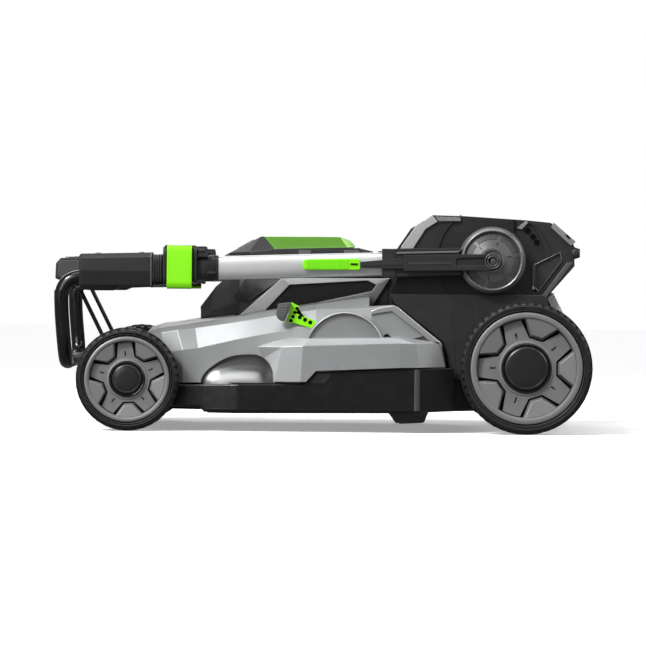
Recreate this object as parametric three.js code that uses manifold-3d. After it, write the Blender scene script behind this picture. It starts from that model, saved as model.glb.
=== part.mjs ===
// Push lawn mower with a folding, telescoping handle, handle folded forward over the deck.
// Millimetres. +X runs to the rear, +Y to the right-hand side, +Z up; the ground is z = 0.
import * as THREE from "three";
import { mergeVertices } from "three/addons/utils/BufferGeometryUtils.js";
import Module from "manifold-3d";

const wasm = await Module();
wasm.setup();

// ---- driving dimensions -------------------------------------------------------------
const GAP = 0.3; // running clearance between neighbouring pieces
const FRONT = { x: -331.5, z: 88.9, r: 88.9, rim: 74, cap: 30, outer: 288, inner: 243 };
const REAR = { x: 354, z: 114.3, r: 114.3, rim: 97, cap: 42, outer: 288, inner: 240 };
const CRANK = { x: 38, z: 32.4, bar: 6, stub: 6 }; // pivot bar to wheel centre, bar and stub radii
const FRONT_PIVOT = { x: FRONT.x - CRANK.x, z: FRONT.z - CRANK.z };
const REAR_PIVOT = { x: REAR.x - CRANK.x, z: REAR.z - CRANK.z };
const LINK_ARM = { x: -26.7, z: 73.3, y: 203 }; // pivot bar to link pin
const BLADE = { x: -26, z: 52, r: 250, chamber: 260 };
const MOTOR = { r: 58 };
const FOLD = { x: 295, z: 299.5, disc: 58, ring: 94, pin: 9 };
const ARM = { out: 246, in: 209 };
const TUBE = { x0: -168, x1: 105, z0: 281.5, z1: 291, high: 41, out: 243, in: 213, wall: 2.4 };
const LOOP = { y: 190, r: 12.4 };
const BAIL = { x: -424, z: 249, y: 176, r: 3.6, long: 128, lean: 26.6 };
const LEVER = { x: 42, z: 139, knobX: -64, knobZ: 207, boss: 70.5 };
const HINGE = { doorX: 386, doorZ: 249, lidX: 101, lidZ: 306, flapY: 271, flapZ: 99 };

// ---- solid helpers ------------------------------------------------------------------
function solid(geometry) {
  const bare = geometry.clone();
  bare.deleteAttribute("normal");
  bare.deleteAttribute("uv");
  const welded = mergeVertices(bare, 1e-4);
  const mesh = new wasm.Mesh({
    numProp: 3,
    vertProperties: new Float32Array(welded.attributes.position.array),
    triVerts: new Uint32Array(welded.index.array),
  });
  return new wasm.Manifold(mesh);
}

const join = (...bodies) => bodies.reduce((a, b) => a.add(b));
const cut = (body, ...tools) => tools.reduce((a, b) => a.subtract(b), body);

function outline(points) {
  return new THREE.Shape(points.map(([a, b]) => new THREE.Vector2(a, b)));
}

function extruded(points, depth, basis) {
  const g = new THREE.ExtrudeGeometry(outline(points), { depth, bevelEnabled: false });
  return g.applyMatrix4(basis);
}

// Outline in x and z, drawn out between two y planes.
function prismY(points, y0, y1) {
  const turn = new THREE.Matrix4().makeRotationX(Math.PI / 2).setPosition(0, y1, 0);
  return solid(extruded(points, y1 - y0, turn));
}

// Outline in y and z, drawn out between two x planes.
function prismX(points, x0, x1) {
  const turn = new THREE.Matrix4().makeBasis(
    new THREE.Vector3(0, 1, 0),
    new THREE.Vector3(0, 0, 1),
    new THREE.Vector3(1, 0, 0),
  );
  return solid(extruded(points, x1 - x0, turn.setPosition(x0, 0, 0)));
}

// Outline in x and y, drawn out between two heights.
function prismZ(points, z0, z1) {
  return solid(extruded(points, z1 - z0, new THREE.Matrix4().makeTranslation(0, 0, z0)));
}

function box(x0, x1, y0, y1, z0, z1) {
  const g = new THREE.BoxGeometry(x1 - x0, y1 - y0, z1 - z0);
  return solid(g.translate((x0 + x1) / 2, (y0 + y1) / 2, (z0 + z1) / 2));
}

// Round bar along y between two planes, centred on x and z.
function barY(x, z, r, y0, y1, sides = 18) {
  const g = new THREE.CylinderGeometry(r, r, y1 - y0, sides);
  return solid(g.translate(x, (y0 + y1) / 2, z));
}

function barZ(x, y, r, z0, z1, sides = 20, top = r) {
  const g = new THREE.CylinderGeometry(top, r, z1 - z0, sides);
  return solid(g.rotateX(Math.PI / 2).translate(x, y, (z0 + z1) / 2));
}

function barX(y, z, r, x0, x1, sides = 16) {
  const g = new THREE.CylinderGeometry(r, r, x1 - x0, sides);
  return solid(g.rotateZ(-Math.PI / 2).translate((x0 + x1) / 2, y, z));
}

// Profile of radius and height, closed or standing on the axis, turned about y.
function turned(profile, sides) {
  const ring = profile.map(([r, h]) => new THREE.Vector2(r, h));
  if (THREE.ShapeUtils.area(ring) < 0) ring.reverse();
  const onAxis = ring.some((p) => p.x === 0);
  return new THREE.LatheGeometry(onAxis ? ring : [...ring, ring[0]], sides);
}

const turnedY = (profile, x, z, sides) => solid(turned(profile, sides).translate(x, 0, z));

const turnedZ = (profile, x, sides) =>
  solid(turned(profile, sides).rotateX(Math.PI / 2).translate(x, 0, 0));

// Skin through a row of sections, each a closed ring of the same number of points.
function loft(rings) {
  const n = rings[0].length;
  const index = [];
  for (let s = 0; s + 1 < rings.length; s++) {
    for (let i = 0; i < n; i++) {
      const j = (i + 1) % n;
      const [a, b, c, d] = [s * n + i, s * n + j, (s + 1) * n + j, (s + 1) * n + i];
      index.push(a, b, c, a, c, d);
    }
  }
  const last = (rings.length - 1) * n;
  const caps = THREE.ShapeUtils.triangulateShape(
    rings[0].map(([, y, z]) => new THREE.Vector2(y, z)),
    [],
  );
  const capsLast = THREE.ShapeUtils.triangulateShape(
    rings[rings.length - 1].map(([, y, z]) => new THREE.Vector2(y, z)),
    [],
  );
  caps.forEach(([a, b, c]) => index.push(a, c, b));
  capsLast.forEach(([a, b, c]) => index.push(last + a, last + b, last + c));
  const flat = new Float32Array(rings.flat(2));
  const g = new THREE.BufferGeometry();
  g.setAttribute("position", new THREE.BufferAttribute(flat, 3));
  g.setIndex(index);
  return solid(g);
}

// Sections across x: each station is x and half a section as [half width, height] pairs
// from the bottom to the centre line on top.
function hullX(stations) {
  return loft(
    stations.map(([x, half]) => {
      const right = half.map(([w, z]) => [x, w, z]);
      const left = half.map(([w, z]) => [x, -w, z]).reverse();
      const seam = half[half.length - 1][0] === 0 ? left.slice(1) : left;
      return [...right, ...seam];
    }),
  );
}

// Round bar swept along a path with rounded corners.
function sweptBar(points, r, bends, sides, steps) {
  const path = new THREE.CurvePath();
  const at = points.map((p) => new THREE.Vector3(...p));
  let from = at[0];
  for (let i = 1; i + 1 < at.length; i++) {
    const bend = bends[i - 1];
    const back = at[i - 1].clone().sub(at[i]).setLength(bend).add(at[i]);
    const on = at[i + 1].clone().sub(at[i]).setLength(bend).add(at[i]);
    path.add(new THREE.LineCurve3(from, back));
    path.add(new THREE.QuadraticBezierCurve3(back, at[i], on));
    from = on;
  }
  path.add(new THREE.LineCurve3(from, at[at.length - 1]));
  const ring = Array.from({ length: sides }, (_, i) => {
    const a = (i * 2 * Math.PI) / sides;
    return [r * Math.cos(a), r * Math.sin(a)];
  });
  return solid(
    new THREE.ExtrudeGeometry(outline(ring), { steps, extrudePath: path, bevelEnabled: false }),
  );
}

// ---- the model tree -----------------------------------------------------------------
const mower = new THREE.Group();
mower.name = "push_mower";

const FINISH = {
  deckBlack: [0x1b1c1e, 0.55, 0],
  silver: [0xb9bcbe, 0.35, 0.5],
  bodyGrey: [0x3a3b3e, 0.5, 0],
  gloss: [0x101113, 0.2, 0],
  lime: [0x84f01a, 0.4, 0],
  steel: [0x8d9196, 0.35, 0.9],
  aluminium: [0xc4c6c8, 0.3, 0.9],
  rubber: [0x1a1a1a, 0.9, 0],
  rimGrey: [0x86888b, 0.45, 0.2],
  copper: [0xa5602c, 0.4, 0.8],
  board: [0x1f5a33, 0.6, 0],
};

function meshOf(body) {
  const m = body.getMesh();
  const n = m.numProp;
  const at = new Float32Array(m.numVert * 3);
  for (let i = 0; i < m.numVert; i++) {
    at.set(m.vertProperties.subarray(i * n, i * n + 3), i * 3);
  }
  const g = new THREE.BufferGeometry();
  g.setAttribute("position", new THREE.BufferAttribute(at, 3));
  return g.setIndex(new THREE.BufferAttribute(new Uint32Array(m.triVerts), 1));
}

function add(name, body, finish, geometry = meshOf(body)) {
  const [color, roughness, metalness] = FINISH[finish];
  const look = new THREE.MeshStandardMaterial({ color, roughness, metalness });
  const mesh = new THREE.Mesh(geometry, look);
  mesh.name = name;
  mower.add(mesh);
}

function mirrored(body) {
  const g = meshOf(body).scale(1, -1, 1);
  const t = g.index.array;
  for (let i = 0; i < t.length; i += 3) [t[i + 1], t[i + 2]] = [t[i + 2], t[i + 1]];
  return g;
}

// The left-hand piece, and its mirror image on the right.
function addPair(name, body, finish) {
  add(name + "_left", body, finish);
  add(name + "_right", body, finish, mirrored(body));
}

// A solid mirrored to the other side as well, both kept in one piece.
const bothSides = (body) => join(body, solid(mirrored(body)));

// ---- lower deck: skirt, blade chamber, nose box, axle bearings ------------------------
function deckRing(grow) {
  const half = [
    [-398, 0], [-398, 105], [-385, 145], [-350, 172], [-300, 192],
    [-238, 212], [-200, 224], [-143, 259], [169, 259], [225, 198],
    [345, 198], [345, 0],
  ];
  const wide = half.map(([x, y]) => [x < 0 ? x - grow : x, y > 0 ? y + grow : 0]);
  return [...wide.map(([x, y]) => [x, -y]), ...wide.slice(1, -1).reverse()];
}

function lowerDeck() {
  const block = prismZ(deckRing(0), 0, 90);
  const side = [
    [-400, 42], [-272, 36.5], [-200, 36.5], [-194, 31], [117, 34], [140, 34.5], [300, 38.5],
    [346, 42], [346, 90], [190, 90], [120, 86.5], [-230, 86.5], [-300, 81], [-400, 62],
  ];
  const skirt = block.intersect(prismY(side, -300, 300));
  const cone = turnedZ([[0, 84], [211, 84], [150, 130], [0, 130]], BLADE.x, 48);
  const chamber = turnedZ(
    [[0, 0], [BLADE.chamber - 6, 0], [BLADE.chamber - 6, 80], [208, 80], [148, 126], [0, 126]],
    BLADE.x,
    48,
  );
  const chamberClip = box(-400, 400, -255, 255, 0, 300);
  const noseBox = prismZ(
    [[-392, -100], [-380, -140], [-350, -166], [-320, -150], [-305, -60],
     [-302, 0], [-305, 60], [-320, 150], [-350, 166], [-380, 140], [-392, 100]],
    0,
    58,
  );
  const ramp = prismY([[150, 52], [222, 52], [262, 87], [300, 96], [420, 96], [420, 140],
    [112, 140], [112, 100]], -165, 165);
  const underRamp = box(258, 339, -190, 190, 0, 70);
  const frontBracket = box(-385, -354, -200, -140, 43, 66);
  const foot = prismY([[117, 36], [131, 17.5], [178, 19.5], [186, 37]], -258, -236);
  const dome = solid(
    new THREE.SphereGeometry(1, 16, 8).scale(54, 11, 40).translate(-143, -238, 84),
  ).intersect(box(-210, -80, -262, -228, 84.5, 140));
  return cut(
    join(skirt, cone, bothSides(frontBracket), foot, dome),
    chamber.intersect(chamberClip),
    noseBox,
    ramp,
    underRamp,
    barY(FRONT_PIVOT.x, FRONT_PIVOT.z, CRANK.bar + GAP, -300, 300),
    barY(REAR_PIVOT.x, REAR_PIVOT.z, CRANK.bar + GAP, -300, 300),
    barZ(BLADE.x, 0, 30, 100, 140),
  );
}

// ---- upper shell: faceted silver cover over the lower deck ------------------------------
const SHELL = [
  [-401, [[110, 63], [110, 71], [98, 78], [0, 80]]],
  [-388, [[152, 67], [152, 84], [128, 94], [0, 97]]],
  [-350, [[182, 77], [181, 106], [152, 124], [0, 128]]],
  [-300, [[205, 81], [202, 132], [176, 171], [0, 177]]],
  [-274, [[212, 82.4], [220, 134], [205, 177.6], [0, 184]]],
  [-238, [[226, 82.6], [234, 139.4], [212, 183.4], [0, 190]]],
  [-210, [[238, 83], [240, 144.4], [215, 187.5], [0, 195]]],
  [-112, [[264, 84], [246, 165.4], [218, 203], [0, 212]]],
  [-35, [[265, 85], [247, 180], [215, 216], [0, 226]]],
  [-8, [[266, 104], [248, 184], [214, 219], [0, 230]]],
  [87, [[264, 110], [243, 184], [213, 226], [0, 240]]],
  [127, [[262, 111], [241, 180], [234, 220], [0, 236]]],
  [209, [[238, 114], [235, 150], [232, 158], [0, 165]]],
  [217, [[236, 114.5], [234, 117], [231, 119], [0, 121]]],
];

function upperShell() {
  const wall = 3;
  const outer = hullX(SHELL);
  const inner = hullX(
    SHELL.map(([x, half], i) => {
      const end = i === 0 ? wall : i === SHELL.length - 1 ? 2 : 0;
      return [x + end, half.map(([w, z], k) => [Math.max(0, w - wall), k ? z - wall : z - 40])];
    }),
  );
  const seat = box(-150, 135, -158.5, 158.5, 160, 330);
  const noseSeat = prismZ([[-212, -62], [-180, -93], [-142, -128], [-142, 128], [-180, 93],
    [-212, 62]], 160, 330);
  const pod = prismY([[-105, 146], [-56, 163], [-19, 158], [209, 156], [217, 114], [-7, 104],
    [-20, 86], [-79, 86]], -272, -240);
  const podHollow = prismY([[-60, 158], [205, 150], [211, 119], [-2, 110], [-16, 90], [-70, 90]],
    -268, -238);
  const halfDisc = barY(LEVER.x, LEVER.z, LEVER.boss, -257, -236, 36)
    .intersect(box(-60, 150, -262, -230, 150, 230));
  const leverRoom = join(
    barY(LEVER.x, LEVER.z, LEVER.boss - 4, -253.5, -239.5, 30)
      .intersect(box(-60, 150, -262, -230, 146, 230)),
    barY(LEVER.x, LEVER.z, 21, -253.5, -239.5, 24),
  );
  const swing = [160, 150, 140, 130, 120, 110, 100].map((d) => (d * Math.PI) / 180);
  const leverSlot = prismY([...swing.map((t) => [LEVER.x + 84 * Math.cos(t),
    LEVER.z + 84 * Math.sin(t)]), [LEVER.x, LEVER.z + 50], [LEVER.x - 40, LEVER.z + 20]],
    -253.5, -239.5);
  const arch = prismY([[-206, 70], [-206, 90], [-195, 105], [-173, 121], [-152, 130], [-130, 132.5],
    [-110, 132.5], [-97, 127], [-87.5, 117], [-82, 105], [-79, 70]], -300, -222);
  const linkSlot = box(-345, -255, -213, -193, 78, 142);
  const inside = box(84, 300, -229.5, 229.5, 0, 400);
  const side = join(cut(pod, podHollow), halfDisc);
  const lowered = join(cut(outer, inner), cut(bothSides(side), inner));
  return cut(
    lowered,
    seat,
    noseSeat,
    prismZ(deckRing(0.6), 0, 90.5),
    bothSides(arch),
    linkSlot,
    inside,
    leverRoom,
    leverSlot,
  );
}

// ---- motor and battery housing -----------------------------------------------------------
const BODY = [
  [-207, [[45, 178], [56, 203], [42, 213], [0, 214]]],
  [-177, [[82, 182], [88, 244], [70, 256], [0, 258]]],
  [-143, [[122, 188], [112, 262], [88, 299], [0, 301]]],
  [-67, [[149, 199], [147, 265], [98, 301.6], [0, 301.6]]],
  [118, [[149, 216], [147, 266], [98, 301.6], [0, 301.6]]],
];

function bodyHousing() {
  const wall = 3.5;
  const outer = hullX(BODY);
  const cavity = hullX(
    BODY.map(([x, half], i) => {
      const end = i === 0 ? wall : i === BODY.length - 1 ? -wall : 0;
      return [x + end, half.map(([w, z], k) =>
        [Math.max(0, w - wall), k ? Math.min(z - wall, 296) : z - 30])];
    }),
  );
  const tub = box(-108, 58, -62, 62, 216, 299);
  const bay = box(-104, 54, -58, 58, 221, 320);
  const motorSeat = barZ(BLADE.x, 0, MOTOR.r + 9, 186, 220, 32);
  const motorBore = barZ(BLADE.x, 0, MOTOR.r + 1, 150, 211.5, 32);
  const lip = barY(HINGE.lidX, HINGE.lidZ, 7.2, -96, 96, 16);
  return cut(join(cut(outer, cavity), tub, motorSeat), bay, motorBore, lip);
}

function sideTrim() {
  const band = prismY([[-143.6, 200], [-66.8, 265.4], [120, 266.5], [88, 216], [55, 213],
    [-100, 200]], -157, -149.5);
  const window = prismY([[-96, 209.5], [-54, 254], [81, 263], [95, 255], [89, 243.6],
    [-39, 216]], -160, -148);
  return cut(band, window);
}

function insertPanel() {
  return prismY([[-95.2, 210], [-53.6, 253.5], [80.8, 262.4], [94.4, 254.8], [88.5, 244],
    [-39, 216.6]], -154, -149.5);
}

// ---- battery lid ------------------------------------------------------------------------
const LID = [
  [-163, [[60, 302.2], [60, 303], [52, 304], [0, 304.4]]],
  [-106, [[93, 302.2], [90, 316], [62, 338.4], [0, 339.4]]],
  [45, [[93, 302.2], [90, 316], [62, 337.6], [0, 338.6]]],
  [57, [[92, 302.2], [88, 312], [66, 322.8], [0, 323.4]]],
  [92, [[90, 302.2], [86, 308], [70, 314], [0, 314.6]]],
];

function batteryLid() {
  const wall = 3.2;
  const outer = hullX(LID);
  const inner = hullX(
    LID.slice(0, 4).map(([x, half], i) => {
      const end = i === 0 ? 24 : i === 3 ? -2 : 0;
      const drop = i === 0 ? 0 : wall;
      return [x + end, half.map(([w, z], k) =>
        [Math.max(0, w - wall * 1.4), k ? Math.max(303, z - drop) : z - 3])];
    }),
  );
  const knuckle = barY(HINGE.lidX, HINGE.lidZ, 6, -86, 86, 16);
  const tongue = box(88, 101, -84, 84, 302.6, 311);
  return join(cut(outer, inner), knuckle, tongue);
}

// ---- wheels ------------------------------------------------------------------------------
function wheelParts(w) {
  const [o, i, mid] = [w.outer, w.inner, (w.outer + w.inner) / 2];
  const tyre = [[w.rim + GAP, -o + 5], [w.rim + 2.5, -o + 1.5], [w.r - 6, -o + 0.5],
    [w.r - 0.8, -o + 7], [w.r, -mid], [w.r - 0.8, -i - 7], [w.r - 6, -i - 0.5],
    [w.rim + 2.5, -i - 1.5], [w.rim + GAP, -i - 5]];
  const rim = [[CRANK.stub + GAP, -i - 3], [w.cap - 2, -i - 3], [w.cap, -mid + 4],
    [w.rim - 8, -mid + 4], [w.rim - 6, -i - 5], [w.rim, -i - 5], [w.rim, -o + 4],
    [w.rim - 3, -o + 1.5], [w.rim - 7, -o + 3], [w.rim - 9, -o + 11], [w.cap + 3, -o + 11],
    [w.cap, -o + 8], [CRANK.stub + GAP, -o + 8]];
  const cap = [[0, -o + 7.6], [w.cap - 1, -o + 7.6], [w.cap - 1, -o + 3], [w.cap - 5, -o + 0.6],
    [w.cap * 0.5, -o], [0, -o]];
  return { tyre, rim, cap };
}

function addWheel(name, w) {
  const { tyre, rim, cap } = wheelParts(w);
  const pockets = [];
  for (let k = 0; k < 5; k++) {
    const a = (k * 2 * Math.PI) / 5 + 0.95;
    const r = (w.cap + w.rim) / 2 - 2;
    pockets.push(barY(w.x + r * Math.cos(a), w.z + r * Math.sin(a), (w.rim - w.cap) * 0.2,
      -w.outer, -w.outer + 15, 8));
  }
  addPair("tyre_" + name, turnedY(tyre, w.x, w.z, 32), "rubber");
  addPair("rim_" + name, cut(turnedY(rim, w.x, w.z, 32), ...pockets), "rimGrey");
  addPair("hub_cap_" + name, turnedY(cap, w.x, w.z, 24), "gloss");
}

// ---- axles and height adjustment ------------------------------------------------------------
function axle(pivot, w) {
  const cy = w.inner - 9; // inner face of the crank plate
  const plate = (x0, z0, x1, z1, r) => {
    const a = Math.atan2(z1 - z0, x1 - x0);
    const arc = (x, z, from) => Array.from({ length: 7 }, (_, i) => {
      const t = a + from + (i * Math.PI) / 6;
      return [x + r * Math.cos(t), z + r * Math.sin(t)];
    });
    return [...arc(x1, z1, -Math.PI / 2), ...arc(x0, z0, Math.PI / 2)];
  };
  const crank = prismY(plate(pivot.x, pivot.z, w.x, w.z, 11), -cy - 6, -cy);
  const stub = barY(w.x, w.z, CRANK.stub, -w.outer + 8.4, -cy - 3);
  const arm = prismY(plate(pivot.x, pivot.z, pivot.x + LINK_ARM.x, pivot.z + LINK_ARM.z, 8),
    -LINK_ARM.y - 6.5, -LINK_ARM.y - 2.5);
  const pin = barY(pivot.x + LINK_ARM.x, pivot.z + LINK_ARM.z, 3, -LINK_ARM.y - 3,
    -LINK_ARM.y + 4, 12);
  const bar = barY(pivot.x, pivot.z, CRANK.bar, -cy - 3, cy + 3);
  return join(bar, bothSides(join(crank, stub)), arm, pin);
}

function heightLink() {
  const [x0, z0] = [FRONT_PIVOT.x + LINK_ARM.x, FRONT_PIVOT.z + LINK_ARM.z];
  const [x1, z1] = [REAR_PIVOT.x + LINK_ARM.x, REAR_PIVOT.z + LINK_ARM.z];
  const y0 = -LINK_ARM.y - 2.2;
  const y1 = -LINK_ARM.y + 1.8;
  const strip = prismY([[x0, z0 - 4], [x1, z1 - 4], [x1, z1 + 4], [x0, z0 + 4]], y0, y1);
  const eyes = join(strip, barY(x0, z0, 7, y0, y1, 16), barY(x1, z1, 7, y0, y1, 16));
  return cut(eyes, barY(x0, z0, 3 + GAP, -300, 0, 12), barY(x1, z1, 3 + GAP, -300, 0, 12));
}

// Strap from the pivot inside the boss out to the perforated plate beside the knob.
function heightLever() {
  const [y0, y1] = [-250, -246.5];
  const strap = prismY([[LEVER.x - 5, LEVER.z - 9], [LEVER.x + 9, LEVER.z - 2],
    [LEVER.x + 3, LEVER.z + 9], [-9.8, 192], [-46, 207], [-52, 190], [-16.5, 179]], y0, y1);
  const plate = prismY([[-51, 224], [-37.6, 217], [-40.9, 207], [-49, 188], [-61, 190],
    [-54, 207]], y0, y1);
  const eye = barY(LEVER.x, LEVER.z, 10, y0, y1, 20);
  const pin = barY(LEVER.x, LEVER.z, 5, y0, -242.6, 16);
  const holes = [];
  for (let i = 0; i < 4; i++) holes.push(barY(-41 - i * 3.4, 213 - i * 7, 1.9, -260, -240, 8));
  for (let i = 0; i < 3; i++) holes.push(barY(-36 + i * 9, 198 - i * 4.4, 2.4, -260, -240, 8));
  return cut(join(strap, plate, eye, pin), ...holes);
}

function heightKnob() {
  const [x, z] = [LEVER.knobX, LEVER.knobZ];
  return prismY([[x - 13, z - 2], [x - 9, z + 14], [x + 11, z + 17], [x + 12.5, z + 14],
    [x + 9.4, z], [x + 2, z - 16.4], [x - 4, z - 16], [x - 11, z - 11]], -262, -250.3);
}

// Steel plate with a notch for each cutting height, fixed behind the strap.
function notchPlate() {
  const arc = (r, from, to, n) => Array.from({ length: n + 1 }, (_, i) => {
    const t = ((from + ((to - from) * i) / n) * Math.PI) / 180;
    return [LEVER.x + r * Math.cos(t), LEVER.z + r * Math.sin(t)];
  });
  const blank = prismY([...arc(58, 95, 158, 12), ...arc(44, 158, 95, 12)], -245.6, -242.6);
  const notches = [147, 141, 135, 129, 123, 117, 111].map((d) => {
    const t = (d * Math.PI) / 180;
    return barY(LEVER.x + 58 * Math.cos(t), LEVER.z + 58 * Math.sin(t), 2.2, -250, -240, 8);
  });
  return cut(blank, ...notches);
}

// ---- rear housing: side towers, discharge duct, door ------------------------------------------
function rearHousing() {
  const wing = [[132, 268], [134, 300], [138, 321], [164, 359.5], [192, 377], [247, 376],
    [352.5, 370], [397.5, 366], [436, 331], [439, 324], [448.5, 321], [448.5, 306.3], [439, 303],
    [439.5, 291], [389, 233], [300, 233], [200, 233], [140, 233], [118, 240]];
  const wingWall = prismY(wing, -205, -188);
  const shallow = barY(FOLD.x, FOLD.z, FOLD.ring, -210, -203.4, 40);
  const scoop = prismY([[367, 293.4], [413, 314.8], [415, 300], [373, 244], [367, 250]], -210, -196);
  const cavity = prismY([[206, 250], [160, 300], [190, 350], [240, 365], [340, 360], [392, 350],
    [424, 325], [420, 292], [378, 250]], -200, -180);
  const hub = barY(FOLD.x, FOLD.z, 26, -204, -188, 24);
  const holes = [[357.7, 351.7], [366.6, 341.8], [373.5, 332]].map(([x, z]) =>
    barY(x, z, 4, -230, -180, 12));
  const hollow = cavity.intersect(box(0, 500, -197, -180, 0, 500));
  const tower = cut(join(cut(wingWall, shallow, scoop, hollow), hub), ...holes,
    barY(FOLD.x, FOLD.z, FOLD.pin + GAP, -300, -150));
  const panel = prismY([[127, 224], [213, 157], [222, 117], [226, 92], [340, 92], [378, 100],
    [402, 150], [392, 236], [120, 240]], -226, -220.5);
  const shelf = prismY([[121, 233], [390, 233], [386, 240], [120, 240]], -226, -188);
  const ductWall = prismY([[128, 100], [235, 92], [350, 92], [430, 99], [432, 130], [424, 170],
    [411, 207], [384, 240], [128, 240]], -177, -171);
  const bridge = box(128, 384, -190, -171, 233, 240);
  const web = box(222, 345, -190, -176, 92, 96);
  const roof = prismY([[128, 233], [384, 233], [380, 240], [128, 240]], -190, 190);
  const frontWall = prismY([[124, 132], [129, 132], [129, 240], [124, 240]], -177, 177);
  const sides = bothSides(join(tower, panel, shelf, ductWall, bridge, web));
  return join(sides, roof, frontWall);
}

function rearDoor() {
  const skin = prismY([[402, 243], [418, 210], [431, 170], [437, 132], [436, 101], [432.4, 101],
    [433, 132], [426.6, 170], [413.6, 208.6], [397, 241], [386, 247]], -180, 180);
  const top = prismY([[384, 255], [391, 255], [404, 243], [398, 238.4], [386, 243.4]], -180, 180);
  const axisHole = barY(HINGE.doorX, HINGE.doorZ, 3 + GAP, -300, 300, 16);
  const barrel = barY(HINGE.doorX, HINGE.doorZ, 7, -180, 180, 16);
  return cut(join(skin, top, barrel), axisHole);
}

function doorRod() {
  return barY(HINGE.doorX, HINGE.doorZ, 3, -187.4, 187.4, 16);
}

// Deflector hanging from the shell on the right-hand side.
function sideFlap() {
  const leaf = prismX([[268, 96], [274, 97], [282, 50], [278, 49.5]], 0, 108);
  const knuckle = barX(HINGE.flapY, HINGE.flapZ, 4, 0, 108, 12);
  return join(leaf, knuckle);
}

// ---- lower handle ---------------------------------------------------------------------------
function lowerArm() {
  const channel = prismY([[104.5, 269], [104.5, 315.4], [130, 318], [250, 321], [290, 326],
    [318, 310], [322, 290], [300, 274], [258, 274], [130, 269]], -ARM.out, -ARM.in);
  const groove = prismY([[132, 309.5], [262, 312.5], [262, 315], [132, 312]], -250, -ARM.out + 4);
  const seat = barY(FOLD.x, FOLD.z, FOLD.disc + GAP, -300, -228.4, 40);
  const eye = barY(FOLD.x, FOLD.z, 30, -228, -ARM.in, 28);
  const plate = prismY([[142, 279.4], [142, 307], [287, 310.2], [300, 308], [306.5, 301],
    [307, 292], [301, 284], [290, 281.9]], -255, -247.6);
  const rib = prismY([[142, 279.4], [142, 307], [228, 309], [228, 280.6]], -250, -240);
  const recess = prismY([[232, 288], [232, 302], [280, 304], [280, 290]], -260, -252);
  const pinHole = barY(290, 298.5, 3.4, -260, -246, 12);
  const socket = prismY(tubeSection(TUBE, -0.3), -TUBE.out - 0.3, -TUBE.in + 0.3)
    .intersect(box(60, 145.3, -300, 0, 200, 400));
  const slide = box(90, 250, -253, -246.9, 283.6, 298.6);
  return cut(
    join(cut(join(channel, eye), seat), cut(join(plate, rib), recess, pinHole)),
    groove,
    socket,
    slide,
    barY(FOLD.x, FOLD.z, FOLD.pin + GAP, -300, 0),
  );
}

function pivotDisc() {
  const y = -228.7;
  const plate = turnedY([[0, y], [FOLD.disc, y], [FOLD.disc, y - 12], [FOLD.disc - 8, y - 17],
    [FOLD.disc - 13, y - 15], [24, y - 15], [20, y - 18], [0, y - 18]], FOLD.x, FOLD.z, 32);
  return join(plate, barY(FOLD.x, FOLD.z, FOLD.pin, -240, -184, 20));
}

// Side outline of the sloping outer tube, grown or shrunk by an amount.
function tubeSection(t, inset) {
  const h = t.high / 2 - inset;
  const end = 145;
  const slope = (t.z1 - t.z0) / (t.x1 - t.x0);
  const z1 = t.z0 + slope * (end - t.x0);
  return [[t.x0 - 60, t.z0 - slope * 60 - h], [end, z1 - h], [end, z1 + h],
    [t.x0 - 60, t.z0 - slope * 60 + h]];
}

const slope = (TUBE.z1 - TUBE.z0) / (TUBE.x1 - TUBE.x0);
const tubeZ = (x) => TUBE.z0 + slope * (x - TUBE.x0);

function tubeBody(x0, x1, inset) {
  const h = TUBE.high / 2 - inset;
  const [y0, y1] = [-TUBE.out + inset, -TUBE.in - inset];
  const c = Math.max(1, 7 - inset);
  const section = (x) => [
    [x, y1 - c, tubeZ(x) - h], [x, y1, tubeZ(x) - h + c], [x, y1, tubeZ(x) + h - c],
    [x, y1 - c, tubeZ(x) + h], [x, y0 + c, tubeZ(x) + h], [x, y0, tubeZ(x) + h - c],
    [x, y0, tubeZ(x) - h + c], [x, y0 + c, tubeZ(x) - h],
  ];
  return loft([section(x0), section(x1)]);
}

function outerTube() {
  return cut(tubeBody(-228, 145, 0), tubeBody(-240, 150, TUBE.wall));
}

function clampCollar() {
  const collar = tubeBody(-194, -170, -4);
  const body = tubeBody(-271.5, -208.8, -15.5);
  const knob = barX(-TUBE.out - 2, 313, 6, -210, -197, 12);
  const rings = [-190, -182, -174].map((x) => tubeBody(x - 1.6, x + 1.6, -5.5));
  const neck = tubeBody(-210, -192, -3);
  return cut(
    join(collar, ...rings, body, neck, knob),
    tubeBody(-228.3, -150, -GAP),
    tubeBody(-300, -227, TUBE.wall),
  );
}

function camLever() {
  const face = box(-263.7, -221, -264, -259.2, 241, 319.4);
  const lip = box(-263.7, -221, -260, -248, 315.8, 319.4);
  return join(face, lip);
}

function releaseLever() {
  const tab = prismY([[-33, 289], [-31, 295.5], [-25, 298], [66, 300], [67.5, 280.4], [-24, 279.4],
    [-31, 282]], -253, -243.8);
  const slot = box(50, 63, -260, -249, 289, 292);
  const strip = prismY([[64, 284], [64, 294.5], [90, 298], [220, 298], [220, 284.2]],
    -252.2, -247.2);
  return join(cut(tab, slot), strip);
}

// ---- upper handle ----------------------------------------------------------------------------
function innerTube() {
  return cut(tubeBody(-318, 60, TUBE.wall + GAP), tubeBody(-330, 70, TUBE.wall * 2 + GAP));
}

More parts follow.
